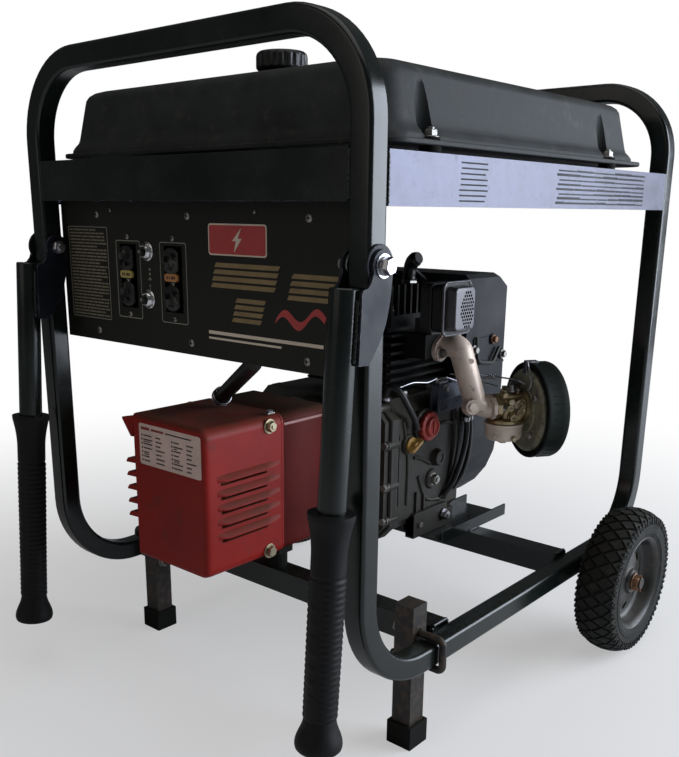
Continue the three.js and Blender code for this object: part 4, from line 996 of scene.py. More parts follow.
def build_tank():
    tank = Part("tank_shell").use("tank")
    levels = [(240.5, 48, 575, 28, 651.0), (249.5, 39.6, 583.5, 33, 655.2), (249.0, 40.2, 583, 33, 659.0),
              (246.2, 42.4, 580.6, 32, 663.0), (242.8, 45.0, 577.9, 31, 666.5), (240.9, 46.5, 576.9, 30, 671.0),
              (239.0, 47.8, 575.7, 29.5, 679.4), (232.6, 52, 571.6, 28.5, 709),
              (231.3, 53.2, 570.5, 28, 715), (228.4, 56.0, 567.6, 27.5, 719.6), (223.6, 60.6, 563, 26.5, 723),
              (216, 68, 555.6, 25, 725.4), (203, 80, 543, 25, 727.4), (172, 103, 518, 28, 731.6),
              (142, 120, 500, 30, 735.2), (120, 134, 486, 30, 737.4), (104, 146, 474, 28, 738.0)]
    tank.loft([rect_ring(*lv) for lv in levels])
    flange = ((0.9, 650), (0, 650.9), (0, 654.1), (0.9, 655))
    tank.loft([rect_ring(258 - e, 36 + e, 588 - e, 30 - e, z) for e, z in flange])
    belly = ((194, 88, 538, 22, 606), (200, 82, 544, 26, 607.4), (204, 78, 548, 28, 611), (214, 68, 558, 30, 645),
             (218, 64, 562, 30, 651))
    tank.loft([rect_ring(*lv) for lv in belly])
    tank.lathe("z", [(0, 730), (27, 730), (27, 737.6), (24.6, 739.2), (24, 741.6), (22, 741.9), (0, 741.9)], FILLER, 56)
    obj = tank.done("fuel_tank", bevel=0, angle=46)
    cutter = Part("cutter")
    for s in (-1, 1):
        for y in TANK_BOLTS_Y:
            at = (s * 241.5, y)
            dome = [(0, 717.5), (6, 716.6), (9.8, 713), (11.4, 706), (11.8, 694), (12.4, 655.45), (0, 655.45)]
            cutter.lathe("z", dome, at, 40)
    carve(obj, cutter, merge=True)
    even_out(obj)

    fixings = Part("tank_bolts")
    for s in (-1, 1):
        for y in TANK_BOLTS_Y:
            at = (s * 249, y)
            bush = [(3.6, 643.3), (9.6, 643.3), (10.4, 644.4), (10.4, 648.6), (9.6, 649.8), (3.6, 649.8)]
            fixings.use("rubber").lathe("z", bush, at, 32)
            fixings.lathe("z", [(3.6, 655.2), (9.0, 655.2), (9.4, 656.0), (9.0, 657.2), (3.6, 657.2)], at, 32)
            fixings.use("steel").rod("z", 8.2, 657.2, 658.8, at, 32)
            fixings.hexhead("z", 11, 658.7, 664.6, at)
            fixings.rod("z", 3.4, 641, 666.8, at, 20)
    fixings.done(bevel=0.3, slot="plated_steel")


def build_fuel_cap():
    cap = Part("tank_cap", "cap").use("plastic")
    rings = []
    n = 144
    for r, z, flute in ((26, 742.35, 0), (27.6, 742.6, 0), (28.6, 743.6, 0), (29.0, 745.2, 0.2), (29.0, 746.4, 1.0),
                        (28.9, 756.0, 1.0),
                        (28.6, 757.6, 0.7), (27.6, 759.6, 0.15), (25.6, 761.2, 0), (22.0, 761.7, 0), (20.5, 761.2, 0),
                        (12, 761.6, 0), (4, 762.2, 0)):
        ring = []
        for k in range(n):
            a = TAU * k / n
            dip = max(0.0, math.cos(a * 18)) ** 0.7 * 1.7 * flute
            ring.append(((r - dip) * math.cos(a), FILLER[1] + (r - dip) * math.sin(a), z))
        rings.append(ring)
    cap.loft(rings)
    cap.rod("z", 2.2, 761.4, 762.25, FILLER, 16)
    cap.done("fuel_cap", bevel=0, angle=50)


# ------------------------------------------------------------------ alternator
def build_alternator():
    cx, cz = CRANK
    hx, hz = 73.0, 91.0

    def shell(inset, steps=6, r=13):
        return rounded(cx - hx + inset, cx + hx - inset, cz - hz + inset, cz + hz - inset, r, steps)

    cover = Part("alternator_cover").use("red")
    # inset, Y and corner radius of each ring; the front left corner is cut off at 45 degrees by the max below
    spans = ((7.0, 28.0, 9), (3.4, 28.7, 11), (1.2, 31.0, 12), (0.25, 34.2, 13), (0, 38, 13), (0, 45.2, 13),
             (0, 152.4, 13),
             (0.5, 153.0, 13), (0.0, 153.8, 13), (0.0, 156.6, 13))
    left, top = cx - hx, cz + hz
    outer = [[(max(a, left + 17 - (y - 28)), y, b) for a, b in shell(i, 6, r)] for i, y, r in spans]
    inner = [[(max(a, left + 21.5 - (y - 28)), y, b) for a, b in shell(3.0, 6, 11)] for y in (156.8, 48, 33)]
    cover.loft(outer + inner, caps=False)
    for ring in (outer[0], inner[-1]):
        cover.add(ring, [tuple(range(len(ring)))])
    obj = cover.done("alternator_end_cover", bevel=0, angle=50)
    slots = Part("cutter")
    slot_top, pitch = 288.4, 17.6
    for s in (-1, 1):
        for k in range(5):
            z = slot_top - pitch * k
            face = cx + s * hx
            ring = [(52, z - 5.4), (125, z - 5.4), (128, z - 3.6), (128, z - 1.6), (126, z), (55, z), (52, z - 2.4)]
            slots.prism("x", ring, face - 8, face + 8)
    carve(obj, slots)
    even_out(obj)

    hoods = Part("alternator_louvres").use("red")
    for s in (-1, 1):
        face = cx + s * hx
        for k in range(5):
            z = slot_top - pitch * k
            line = [(46, 0.2), (54, 4.6), (60, 6.0), (124, 6.0), (134, 4.4), (150, 0.2)]
            if s < 0:
                line[:3] = [(31.2, 5.4), (33.0, 6.0), (45, 6.0), (60, 6.0)]
            rings = []
            for y, reach in line:
                x = face + s * reach
                root = face - s * (0.8 + (max(0, 45.5 - y) if s < 0 else 0))
                rings.append([(root, y, z + 7.6), (face + s * (reach * 0.45), y, z + 5.2), (x, y, z + 1.0),
                              (x, y, z - 0.5), (x - s * min(1.3, reach * 0.5), y, z - 0.5), (root, y, z + 0.6)])
            hoods.loft(rings)
            root = face - s * 0.8
            hoods.loft([[(root, y, z - 5.2), (face + s * r, y, z - 5.4), (face + s * r, y, z - 6.4), (root, y, z - 7.4)]
                        for y, r in ((50, 0.2), (58, 1.6), (124, 1.6), (134, 0.2))])
    ear = [(left + 7, top - 4), (left - 16.7, top - 9.3), (left - 16.7, top - 11.7), (left - 1, top - 31.6),
           (left + 3, top - 31.6)]
    hoods.prism("y", ear, 36.2, 40.8)
    hoods.done(bevel=0.5, angle=30, slot="red_paint")

    label = Part("rating_label")
    lift = 0.38  # the inks lie on top of the label's own 0.25
    flat_print(label, "label", rounded(-108, 4, 293, 344, 3.2, 6), 0.25)
    for key, x0, x1, z0, z1 in (("ink_red", -104, -88, 336.5, 340.0), ("ink_red", -85, -62, 336.8, 339.6),
                                ("ink", -59, -12, 337.2, 338.8)):
        bar(label, key, x0, x1, z0, z1, lift)
    for x0 in (-104, -48):
        for row in range(7):
            z = 331.0 - 5.2 * row
            bar(label, "ink", x0, x0 + 2.4, z - 2.2, z, lift)
            for x1, short in ((x0 + 4.0, 9), (x0 + 27, 7)):
                bar(label, "ink", x1, x1 + rnd.uniform(short, 17), z - 1.9, z - 0.3, lift)
            if row % 3 == 1:
                bar(label, "ink", x0 + 4.0, x0 + 4.0 + rnd.uniform(5, 12), z - 4.1, z - 3.0, lift)
    label.done(bevel=0, slot="red_paint", weld=False)

    bolts = Part("cover_bolts")
    for at in ((132, 340), (130, 180)):
        for s in (1, -1):
            hex_bolt(bolts, "x", 12, cx + s * hx, 6.0, at, s, 9.5, "gold_zinc")
    bolts.use("gold_zinc").rod("x", 3.0, cx + hx, cx + hx + 8.4, (132, 340), 20)
    bolts.done(bevel=0.35, slot="plated_steel")

    wrap = Part("stator_wrapper").use("red_side")
    outer = [[(a, y, b) for a, b in shell(i, 6, 12.5)] for i, y in ((1.6, 157.35), (1.0, 158.0), (1.0, 236.6),
                                                                    (1.6, 237.7))]
    inner = [[(a, y, b) for a, b in shell(4.2, 6, 10)] for y in (237.7, 157.35)]
    wrap.loft(outer + inner, closed=True)
    wrap.done("alternator_housing", bevel=0, angle=50)
    # painted highlight: a pale pink strip along the wrapper's upper right edge, where the window's light catches the
    # corner
    edge_highlight = Part("wrapper_edge_highlight").use("edge_pink")
    edge_highlight.prism("y", [(cx + hx - 1.2, 339.6), (cx + hx - 0.4, 339.4), (cx + hx - 0.1, 337.6), (cx + hx - 0.2, 336.4),
                     (cx + hx - 1.4, 336.6)], 158.4, 236)
    edge_highlight.done(bevel=0, slot="red_paint")

    dress("stator_core", "lamination", 0)
    dress("rotor", "copper", 0)
    dress("alternator_mount", "rubber", 1.6, 3)
    mounts = Part("mount_studs")
    for dx in (-44, 44):
        hex_bolt(mounts, "z", 14, 169.9, 0.0, (cx + dx, 174), 1)
        mounts.use("zinc").rod("z", 11, 139.8, 141.6, (cx + dx, 174), 28)
    mounts.done(bevel=0.2, slot="plated_steel")


def build_adapter():
    """The casting that joins the alternator to the engine."""
    cx, cz = CRANK
    bell = Part("adapter_casting").use("cast")
    bell.lathe("y", [(16, 262), (76, 238.4), (84, 238.4), (84.8, 240), (84.8, 260), (84, 262), (72, 268), (70, 284),
                     (74, 292),
                     (78, 294), (78, 299.6), (16, 299.6)], CRANK, 72)
    for k in range(8):
        a = TAU * (k + 0.5) / 8
        x, z = cx + 74 * math.cos(a), cz + 74 * math.sin(a)
        bell.use("cast").rod("y", 6.5, 262, 294, (x, z), 20)
    for k in range(4):
        a = TAU * (k + 0.5) / 4
        hex_bolt(bell, "y", 10, 237.9, 0.3, (cx + 60 * math.cos(a), cz + 60 * math.sin(a)), -1, 0, "cast")
    bell.done("engine_adapter", bevel=0.8)


def build_conduit():
    """The ribbed wiring tube from the panel box to the alternator, its two end rings and the earth lug."""
    hose = Part("panel_conduit").use("plastic")
    line = route([(44, 76, 436.7), (44, 76, 428), (-76, 131, 362.6)], [9], 8)
    fine = []
    for (a, ha), (b, hb) in zip(line, line[1:]):
        n = max(1, int((b - a).length / 1.1))
        for i in range(n):
            fine.append((a.lerp(b, i / n), ha.lerp(hb, i / n).normalized()))
    fine.append(line[-1])
    stations = [(p, h, 1.0 + 0.035 * math.sin(i * 1.9)) for i, (p, h) in enumerate(fine)]
    hose.sweep(circle(9.2, 24), stations)
    hose.done("wiring_conduit", bevel=0, angle=60)
    rings = Part("conduit_rings").use("zinc")
    tip, way = fine[-1]
    across = way.cross(Vector((0, 0, 1))).normalized()
    over = way.cross(across)
    for k in range(2):
        at = tip - way * (4.5 + 7.5 * k)
        loop = [at + across * a + over * b for a, b in circle(11.0, 32)]
        rings.sweep(circle(1.25, 10), headed(loop, closed=True))
    rings.done(bevel=0, slot="plated_steel", angle=60)
    lug = Part("earth_lug").use("steel").box(-1, 5, 135, 147, 353, 354.5)
    lug.use("zinc").rod("z", 4.5, 354.4, 357.5, (2, 141), 6)
    lug.done(bevel=0.3, slot="plated_steel")


# ------------------------------------------------------------------ engine
def rope_line(part, points, r, n=12, steps=48):
    """A round hose, lead or wire on a smooth curve through the points."""
    part.sweep(circle(r, n), spline(points, steps))


def build_engine():
    cx, cz = CRANK
    dress("crankcase", "cast", 4.0, 4)
    dress("cylinder_block", "fins", 0.9, 2)
    dress("cylinder_head", "fins", 1.0, 2)
    dress("crankshaft", "steel", 0.6)
    dress("flywheel", "lamination", 1.0)

    more = Part("crankcase_details").use("cast")
    left, right = cx - 118, 58

    def case_outline(g):
        e = g * 0.4
        return [(left + 24 - e, 158 - g), (right - 16 + e, 158 - g), (right + g, 176 - e), (right + g, 322 + e),
                (right - 22 + e, 345 + min(g, 0.2)), (left + 22 - e, 345 + min(g, 0.2)), (left - g, 322 + e),
                (left - g, 182 - e)]
    rim = [[(a, y, b) for a, b in case_outline(g)] for g, y in
           ((2.4, 309), (4.4, 310.5), (4.4, 318.2), (4.6, 318.6), (4.6, 325), (2.4, 327), (-8, 327), (-8, 309))]
    more.loft(rim, closed=True)
    for x, z in ((right - 2, 184), (right - 1, 232), (right - 1, 290), (right - 16, 338), (left + 2, 200),
                 (left + 1, 300), (-20, 161)):
        more.use("cast").rod("y", 7.0, 305, 327, (x, z), 28)
        hex_bolt(more, "y", 9.5, 305.2, 5.5, (x, z), -1, 7.0, "steel")
    # bosses, ribs and pads on the right face
    more.use("cast")
    spout = [(0, right - 4), (14.5, right - 2), (12.0, right + 2.5), (11.4, right + 8.6), (10.4, right + 9.6),
             (6.6, right + 9.6), (6.2, right + 6.0), (0, right + 6.0)]
    more.lathe("x", spout, (421, 252), 40)
    more.lathe("x", [(0, right - 3), (17, right - 1.5), (14, right + 1.6), (13, right + 3.4), (0, right + 3.6)],
               (411, 222), 40)
    hex_bolt(more, "x", 13, right + 3.2, 7.0, (411, 222), 1, 9.2, "steel")
    more.use("steel").rod("x", 3.6, right + 3, right + 13.6, (411, 222), 20)
    more.use("cast").lathe("x", [(0, right - 2), (25, right - 1), (24.2, right + 4.6), (22.6, right + 5.8),
                                 (20.6, right + 6.2), (0, right + 6.2)], OIL_CAP, 48)
    more.lathe("x", [(0, right - 2), (15, right - 1), (13.6, right + 3.4), (12, right + 4.1), (0, right + 4.1)],
               DIPSTICK, 40)
    for rib in (((340, 318), (352, 262), (352, 196)), ((462, 322), (466, 262), (450, 182)),
                ((378, 232), (398, 196), (432, 186)), ((400, 286), (432, 300), (462, 296)),
                ((405, 246), (382, 258), (366, 262))):
        rope_line(more, [(right, y, z) for y, z in rib], 3.0, 10, 30)
    for y, z0, z1 in ((374, 178, 210), (392, 174, 204), (330, 200, 300)):
        rib = [(right - 2, y - 2), (right + 3.4, y - 1.2), (right + 3.4, y + 1.2), (right - 2, y + 2)]
        more.prism("z", rib, z0, z1)
    more.loft([[(right - 8, y0, z0), (right + 6.6, y0, z0), (right + 6.6, y1, z0), (right - 8, y1, z0)]
               for z0, y0, y1 in ((144.2, 366, 446), (146, 364, 447), (176, 364, 447), (180, 367, 444))])
    more.rod("x", 9, right + 4, right + 9, (436, 163), 32)
    hex_bolt(more, "x", 12, right + 8.8, 6.4, (436, 163), 1, 8.6, "zinc")
    more.use("steel").rod("x", 3, right + 15, right + 18, (436, 163), 16)
    hex_bolt(more, "x", 8, right + 6.4, 4.0, (378, 162), 1, 0, "steel")
    for y in (372, 438):
        hex_bolt(more, "z", 12, 345.2, 6.0, (right - 26, y), 1, 9, "steel")
    for x in (right - 17, left + 20):
        for y in (402, 458):
            more.use("zinc").rod("z", 8.5, 168.0, 170.2, (x, y), 28)
            more.hexhead("z", 13, 170, 177.5, (x, y))
    more.done(bevel=0.6, slot="grey_casting")


def build_engine_lines():
    """Hoses down the right side, and the governor's bracket with its rods and spring."""
    hoses = Part("engine_hoses").use("plastic")
    rope_line(hoses, [(60, 466, 330), (70, 478, 306), (72, 476, 262), (68, 458, 214), (60, 438, 186)], 4.2)
    rope_line(hoses, [(56, 478, 336), (66, 492, 306), (70, 492, 262), (68, 482, 222), (60, 466, 194)], 3.4)
    rope_line(hoses, [(60, 462, 318), (66, 468, 286), (66, 462, 240), (62, 446, 200), (58, 430, 184)], 2.4)
    hoses.use("zinc")
    for at in ((70.5, 478, 300), (68, 491, 300)):
        hoses.lathe("z", [(4.0, at[2] - 3), (5.4, at[2] - 3), (5.4, at[2] + 3), (4.0, at[2] + 3)], (at[0], at[1]), 24)
    hoses.done(bevel=0, slot="black_plastic", angle=60)

    gov = Part("governor_bracket").use("bracket")
    gov.box(60, 74, 398, 472, 361, 363.4)
    gov.box(72, 74.2, 398, 404, 322, 363)
    gov.box(60, 74, 404, 474, 322, 324.4)
    gov.box(71.8, 74.2, 403, 474, 322, 340)
    gov.box(60, 62.4, 398, 472, 322, 363)
    hex_bolt(gov, "x", 8, 62.2, 4, (432, 350), 1, 6, "steel")
    gov.use("zinc")
    rope_line(gov, [(72, 392, 369), (76, 410, 371), (80, 432, 364), (84, 452, 362), (88, 474, 360)], 1.3, 8)
    rope_line(gov, [(58, 330, 366), (64, 352, 370), (70, 376, 368), (74, 392, 372)], 1.2, 8)
    for k in range(9):
        y = 398 + 2.2 * k
        turn = [TAU * i / 16 for i in range(17)]
        loop = [(72 + 3.1 * math.cos(a), y + 2.2 * i / 16, 366 + 3.1 * math.sin(a)) for i, a in enumerate(turn)]
        gov.sweep(circle(0.55, 6), headed(loop))
    gov.done(bevel=0.4, slot="plated_steel")


def build_head_fittings():
    """Head bolts, spark plug with its boot, and the lead to the blower housing."""
    top = Part("head_bolts")
    for x in (-110, -45, 20):
        for y in (356, 466):
            if x == 20 and y == 466:
                continue
            at = (x + (4 if x < 0 else -4), y)
            top.use("fins").rod("z", 8, 455, 462, at, 24)
            hex_bolt(top, "z", 12, 462, 6.5, at, 1, 7.6, "steel")
    top.done(bevel=0.3, slot="plated_steel")

    boot = Part("plug_boot").use("steel")
    at = (2, 420)
    boot.hexhead("z", 20, 490.3, 499.6, at)
    boot.use("zinc").rod("z", 9.0, 499.4, 502.5, at, 32)
    boot.use("steel").rod("z", 6, 470, 492, at, 20)
    boot.use("plastic")
    line = [(2, 420, 500), (2.2, 420, 508), (3.2, 420, 516), (6.6, 420, 523), (12.2, 419.5, 527.6), (18.6, 419, 530.2)]
    grow = [0.92, 1.0, 0.98, 1.08, 1.12, 0.86]
    stations = spline(line, 40)
    m = len(stations) - 1
    shaped = []
    for i, (p, h) in enumerate(stations):
        t = i / m * (len(grow) - 1)
        k = min(int(t), len(grow) - 2)
        g = grow[k] * (1 - (t - k)) + grow[k + 1] * (t - k)
        if i < 3:
            g *= 1.08
        shaped.append((p, h, g))
    boot.sweep(circle(9.2, 28), shaped)
    boot.lathe("z", [(0, 526), (6.5, 526), (7.0, 532), (4.5, 536.5), (0, 537.2)], (11, 419.6), 24)
    boot.done("spark_plug_boot", bevel=0.3, angle=50)
    lead = Part("ignition_lead").use("plastic")
    rope_line(lead, [(2, 424, 513), (1.5, 436, 510), (0, 452, 502), (-2, 470, 494), (-3, 484, 490)], 3.4)
    lead.done(bevel=0, slot="black_plastic", angle=60)


def build_muffler():
    """A pressed box, a rolled rim and a perforated guard facing out."""
    box = Part("muffler_box").use("muffler")
    for x0, x1, inset in ((66, 84.6, 0), (84.4, 103.5, 0.8)):
        rings = []
        for x, e in ((x0, 3), (x0 + 1.5, 0.8), (x0 + 4, 0), (x1 - 1, 0), (x1, 0.8)):
            e += inset
            rings.append([(x, a, b) for a, b in rounded(356 + e, 416 - e, 438 + e, 502 - e, 8, 6)])
        box.loft(rings)
    box.box(40, 68, 384, 406, 431.3, 452)
    for y in (378, 412):
        hex_bolt(box, "x", 9, 66.2, 4.5, (y - 3, 446), -1, 0, "rust")
    box.use("muffler").prism("x", rounded(353.4, 418.6, 435.4, 504.6, 8, 6), 103.2, 105.6)
    box.use("guard")
    rim = [(105.6, y, z) for y, z in rounded(354, 418, 436, 504, 8, 8)]
    box.sweep(circle(1.5, 10), headed(rim, closed=True))
    for y, z in ((357.5, 500.6), (414.6, 500.6), (357.6, 439.6), (414.6, 439.6)):
        round_screw(box, "x", 2.2, 105.6, (y, z), 1, "steel")
    box.done("muffler", bevel=0.4)
    shield = Part("muffler_guard").use("guard")
    rings = [[(x, a, b) for a, b in rounded(361 + e, 409 - e, 441 + e, 499 - e, 6, 6)]
             for x, e in ((105.5, 0), (116.6, 1.0), (118.8, 2.0), (119.8, 4.2))]
    shield.loft(rings)
    obj = shield.done(bevel=0, slot="heat_paint", angle=40)
    holes = Part("cutter")
    for row in range(11):
        for col in range(6):
            y = 388 + (col - 2.5) * 5.0 + (1.25 if row % 2 else -1.25)
            z = 469 + (row - 5) * 4.4
            if ((y - 388) / 15) ** 2 + ((z - 469) / 26) ** 2 < 1:
                holes.rod("x", 1.95, 112, 130, (y, z), 10)
    carve(obj, holes)
    # painted shade: the walls of the guard's holes get the flat black shade material
    obj.data.materials.append(M["painted_shade"])
    for poly in obj.data.polygons:  # the walls of the holes are dark
        x, y, z = (c * 1000 for c in poly.center)
        if 111 < x < 119.2 and 372 < y - SHIFT < 404 and 444 < z < 494:
            poly.material_index = len(obj.data.materials) - 1
    even_out(obj)


def build_blower():
    dress("blower_housing", "shroud", 3.4, 4)
    trim = Part("shroud_fixings")
    for y, z in ((552, 409), (580, 384), (500, 398)):
        trim.use("shroud").rod("x", 8, 60.5, 65.0, (y, z), 28)
        hex_bolt(trim, "x", 9, 64.6, 5, (y, z), 1, 7, "rust" if z > 400 else "steel")
    trim.use("muffler").tube(3.0, [(64, 506, 416), (67, 506, 380), (67, 548, 374), (67, 566, 396)], 10, n=10)
    trim.use("shroud").box(61.6, 64.6, 492, 586, 371.5, 374.5)
    trim.use("shroud").box(61.6, 63.8, 500, 540, 376, 414)
    for x, z in ((-150, 470), (-150, 380), (30, 470)):
        round_screw(trim, "y", 4.0, 588, (x, z), 1, "steel")
    trim.done(bevel=0.5, slot="shroud_paint")


def build_recoil():
    """The starter, its grip, and the rope between them, which is returned."""
    cx, cz = CRANK
    dress("recoil_starter", "shroud", 1.4, 3)
    ring = Part("starter_screws")
    for k in range(6):
        a = TAU * k / 6 + 0.3
        hex_bolt(ring, "y", 8, 605.4, 4, (cx + 84.5 * math.cos(a), cz + 84.5 * math.sin(a)), 1, 0, "steel")
    ring.use("label").lathe("y", [(0, 617.8), (24, 617.8), (24, 618.3), (0, 618.3)], CRANK, 48)
    ring.use("shroud").lathe("y", [(0, 618.1), (21, 618.1), (20, 618.7), (0, 618.8)], CRANK, 48)
    ring.done(bevel=0.3, slot="plated_steel")
    gx, ry, rz = cx - 96.3, 597, cz + 37  # X of the grip's seat, Y and Z of the rope
    pull = Part("starter_handle", "recoil").use("plastic")
    pull.rod("x", 6, gx - 8, gx, (ry, rz), 28)
    spans = ((6.8, 4, 24), (8.2, 6, 27.5), (11, 7, 29), (16, 7, 29), (19, 6, 27), (20, 4, 24))
    pull.loft([[(gx - out, a, b) for a, b in rounded(ry - w, ry + w, rz - h, rz + h, min(w, h) * 0.9, 6)]
               for out, w, h in spans])
    pull.use("zinc").rod("x", 3.2, gx - 20.2, gx - 19, (ry, rz), 20)
    pull.done("recoil_grip", bevel=0.5)
    cord = Part("starter_rope", None).use("cordage")
    cord.sweep(circle(2.2, 12), [(Vector((gx + out, ry, rz)), Vector((-1, 0, 0))) for out in (9, 6, 3, 0.2, -3, -6)])
    return cord.done(bevel=0, slot="black_plastic")


# ------------------------------------------------------------------ intake, carburettor and air cleaner
CARB_TURN = math.radians(-34)
CLEANER = Matrix.Translation((134, 447, 326)) @ Matrix.Rotation(CARB_TURN, 4, "Z")  # the air cleaner's own axes
CARB = Matrix.Translation((0, 0, 7)) @ CLEANER  # the carburettor's, 7 mm above them
FLANGE = [(-22, -6), (-22, 6), (-12, 15), (12, 15), (22, 6), (22, -6), (12, -15), (-12, -15)]


def build_elbow():
    """The inlet pipe from the cylinder head down to the carburettor."""
    heading = Matrix.Rotation(CARB_TURN, 3, "Z") @ Vector((0, 1, 0))
    mouth = Vector((134, 447, 333))
    end = mouth - heading * 4
    knee = mouth - heading * 27

    elbow = Part("inlet_elbow").use("intake")
    line = route([(63.4, 418, 415), (92, 418, 415), tuple(knee), tuple(end)], [16, 17], 12)
    shaped = []
    for i, (p, h) in enumerate(line):
        t = i / (len(line) - 1)
        shaped.append((p, h, 1.0 + 0.10 * math.sin(t * 5.2) + (0.10 if t > 0.94 else 0)))
    elbow.sweep(circle(15.2, 36), shaped)
    plate = [(401, 405, 9), (436, 424, 9)]
    hullpts = []
    for k in range(40):
        a = TAU * k / 40
        d = Vector((math.cos(a), math.sin(a)))
        best = max(((y - 418) * d.x + (z - 415) * d.y + r) for y, z, r in plate + [(418, 415, 17.5)])
        hullpts.append((418 + d.x * best * 0.97, 415 + d.y * best * 0.97))
    elbow.prism("x", hullpts, 63.4, 69.5)
    for y, z, r in plate:
        elbow.use("intake").rod("x", 8, 64, 73, (y, z), 28)
        hex_bolt(elbow, "x", 10, 73, 5.5, (y, z), 1, 7, "steel")
    elbow.use("intake")
    corner = Vector((knee.x - 6, knee.y - 10, knee.z + 2))
    out = Vector((0.80, -0.55, 0.12)).normalized()
    elbow.sweep(circle(10.5, 32), [(corner + out * k, out, g) for k,
                                   g in ((4, 1.15), (10, 1.05), (14.6, 1.0), (15.4, 0.94))])
    elbow.use("pale").sweep(circle(6.2, 6), [(corner + out * k, out) for k in (15, 18.2)])
    elbow.use("intake")
    peg, away = Vector((104, 424, 396)), Vector((0.7, -0.7, 0.1))
    elbow.sweep(circle(3.6, 20), [(peg + away * k, away.normalized()) for k in (6, 15)])
    elbow.add([CARB @ Vector((a, y, b)) for y in (-9.4, -4.1) for a, b in FLANGE],
              [tuple(range(8)), tuple(range(15, 7, -1))] + [(i, (i + 1) % 8, 8 + (i + 1) % 8, 8 + i) for i in range(8)])
    elbow.done("intake_elbow", bevel=1.0, segments=3)


def build_carburettor():
    carb = Part("carb_body", "frame", CARB).use("brass")
    carb.prism("y", FLANGE, -3.4, 2.4)
    carb.lathe("y", [(0, 0), (17.5, 0), (17.5, 6), (15.5, 9), (15.5, 32), (19, 38), (22.5, 39), (22.5, 43.8),
                     (0, 43.8)], (0, 0), 48)
    carb.prism("z", rounded(-15, 15, 7.5, 36, 5, 5), -21, 12)
    carb.prism("z", rounded(-11, 11, 4, 40, 5, 5), 8, 16.5)
    carb.lathe("z", [(0, -22.2), (22.4, -22.2), (24.6, -21.4), (24.6, -17.2), (20, -15.4), (0, -15.4)], (0, 15.5), 48)
    carb.rod("z", 5.4, 14, 24, (0, 14), 28)
    carb.rod("z", 5.0, 14, 20, (0, 34), 28)
    for y, z, length, r in ((12, 2, 27, 3.6), (27, -5, 25, 3.0), (20, -13, 23, 4.6), (33, 8, 22, 2.6)):
        carb.use("brass").rod("x", r + 2.6, 12, 18.5, (y, z), 28)
        carb.use("gold_zinc").rod("x", r, 14, length, (y, z), 24)
        carb.use("brass").rod("x", r + 1.3, length - 2.4, length, (y, z), 24)
        # painted shade: a thin black bar stands for the screwdriver slot in the screw's end
        carb.use("painted_shade").box(length - 0.4, length + 0.06, y - r, y + r, z - 0.45, z + 0.45)
        carb.use("steel")
        coil = []
        for i in range(61):  # five turns of 12 steps
            a = TAU * i / 12
            coil.append((18.6 + (length - 21.4) * i / 60, y + (r + 0.5) * math.cos(a), z + (r + 0.5) * math.sin(a)))
        carb.sweep(circle(0.6, 6), headed(coil))
    for x in (-17, 17):
        carb.use("steel").hexhead("y", 9, 2.2, 7.0, (x, 0))
    carb.use("brass").prism("x", [(22, -16), (30, -18), (36, -10), (33, 2), (26, 6), (21, -4)], 15, 18.6)
    carb.rod("x", 2.8, 15, 21, (28, -10), 20)
    carb.use("gold_zinc").lathe("x", [(3.2, 18.4), (7.6, 18.4), (7.6, 20.2), (3.2, 20.2)], (28, 4), 32)
    carb.use("brass").rod("x", 4, 12, 25.8, (4, 20), 24)
    carb.use("gold_zinc").hexhead("x", 9, 22, 26, (14, 10))
    carb.done("carburettor", bevel=0.7)

    bowl = Part("carb_bowl", "frame", CARB).use("pale")
    bowl.lathe("z", [(0, -47), (17, -47), (21, -46.2), (23.8, -44.2), (25.2, -41), (25.6, -36), (25.7, -28),
                     (27.3, -25.6), (27.5, -22.4),
                     (0, -22.4)], (0, 15.5), 64)
    bowl.use("brass").hexhead("z", 11, -52.0, -46.9, (0, 15.5), -1)
    bowl.use("gold_zinc").rod("x", 3.6, 20, 30, (19, -41), 20)
    bowl.done("float_bowl", bevel=0.5)


def build_air_cleaner():
    base = Part("cleaner_plate", "frame", CLEANER).use("disc")
    base.lathe("y", [(12, 44.3), (30, 44.3), (31.5, 45.4), (49, 45.4), (51, 44.4), (53, 44.4), (57.6, 46.4),
                     (58, 49.9), (12, 49.9)],
               (0, 0), 96)
    for a in (0.6, 2.2, 3.9, 5.4):
        hex_bolt(base, "y", 8, 45.4, 3.6, (40 * math.cos(a), 40 * math.sin(a)), -1, 6, "steel")
    base.done("air_cleaner_base", bevel=0.4)

    cover = Part("cleaner_cover", "frame", CLEANER).use("filter")
    cover.lathe("y", [(0, 50.4), (59.5, 50.4), (60.5, 47.6), (64.5, 47.2), (66.6, 48.6), (67, 51.5), (66.4, 53.5),
                      (66.6, 70), (67, 77), (66.0, 79.8),
                      (62.6, 81.7), (40, 81.95), (36, 81.0), (0, 81.0)], (0, 0), 112)
    for k in range(40):
        a = TAU * k / 40
        c, s = math.cos(a), math.sin(a)
        pts = [((66.2 + lift) * c - side * s, y, (66.2 + lift) * s + side * c) for lift, side, y in
               ((-1, -0.9, 58), (0.75, -0.5, 58), (0.75, 0.5, 58), (-1, 0.9, 58))]
        far = [(x, 75.5, z) for x, y, z in pts]
        cover.loft([pts, far])
    cover.use("zinc").prism("y", rounded(-5, 5, 64, 69.4, 1, 3), 43.5, 60)
    cover.box(-5, 5, 42.6, 44.2, 50, 69)
    cover.done("air_filter", bevel=0.4)


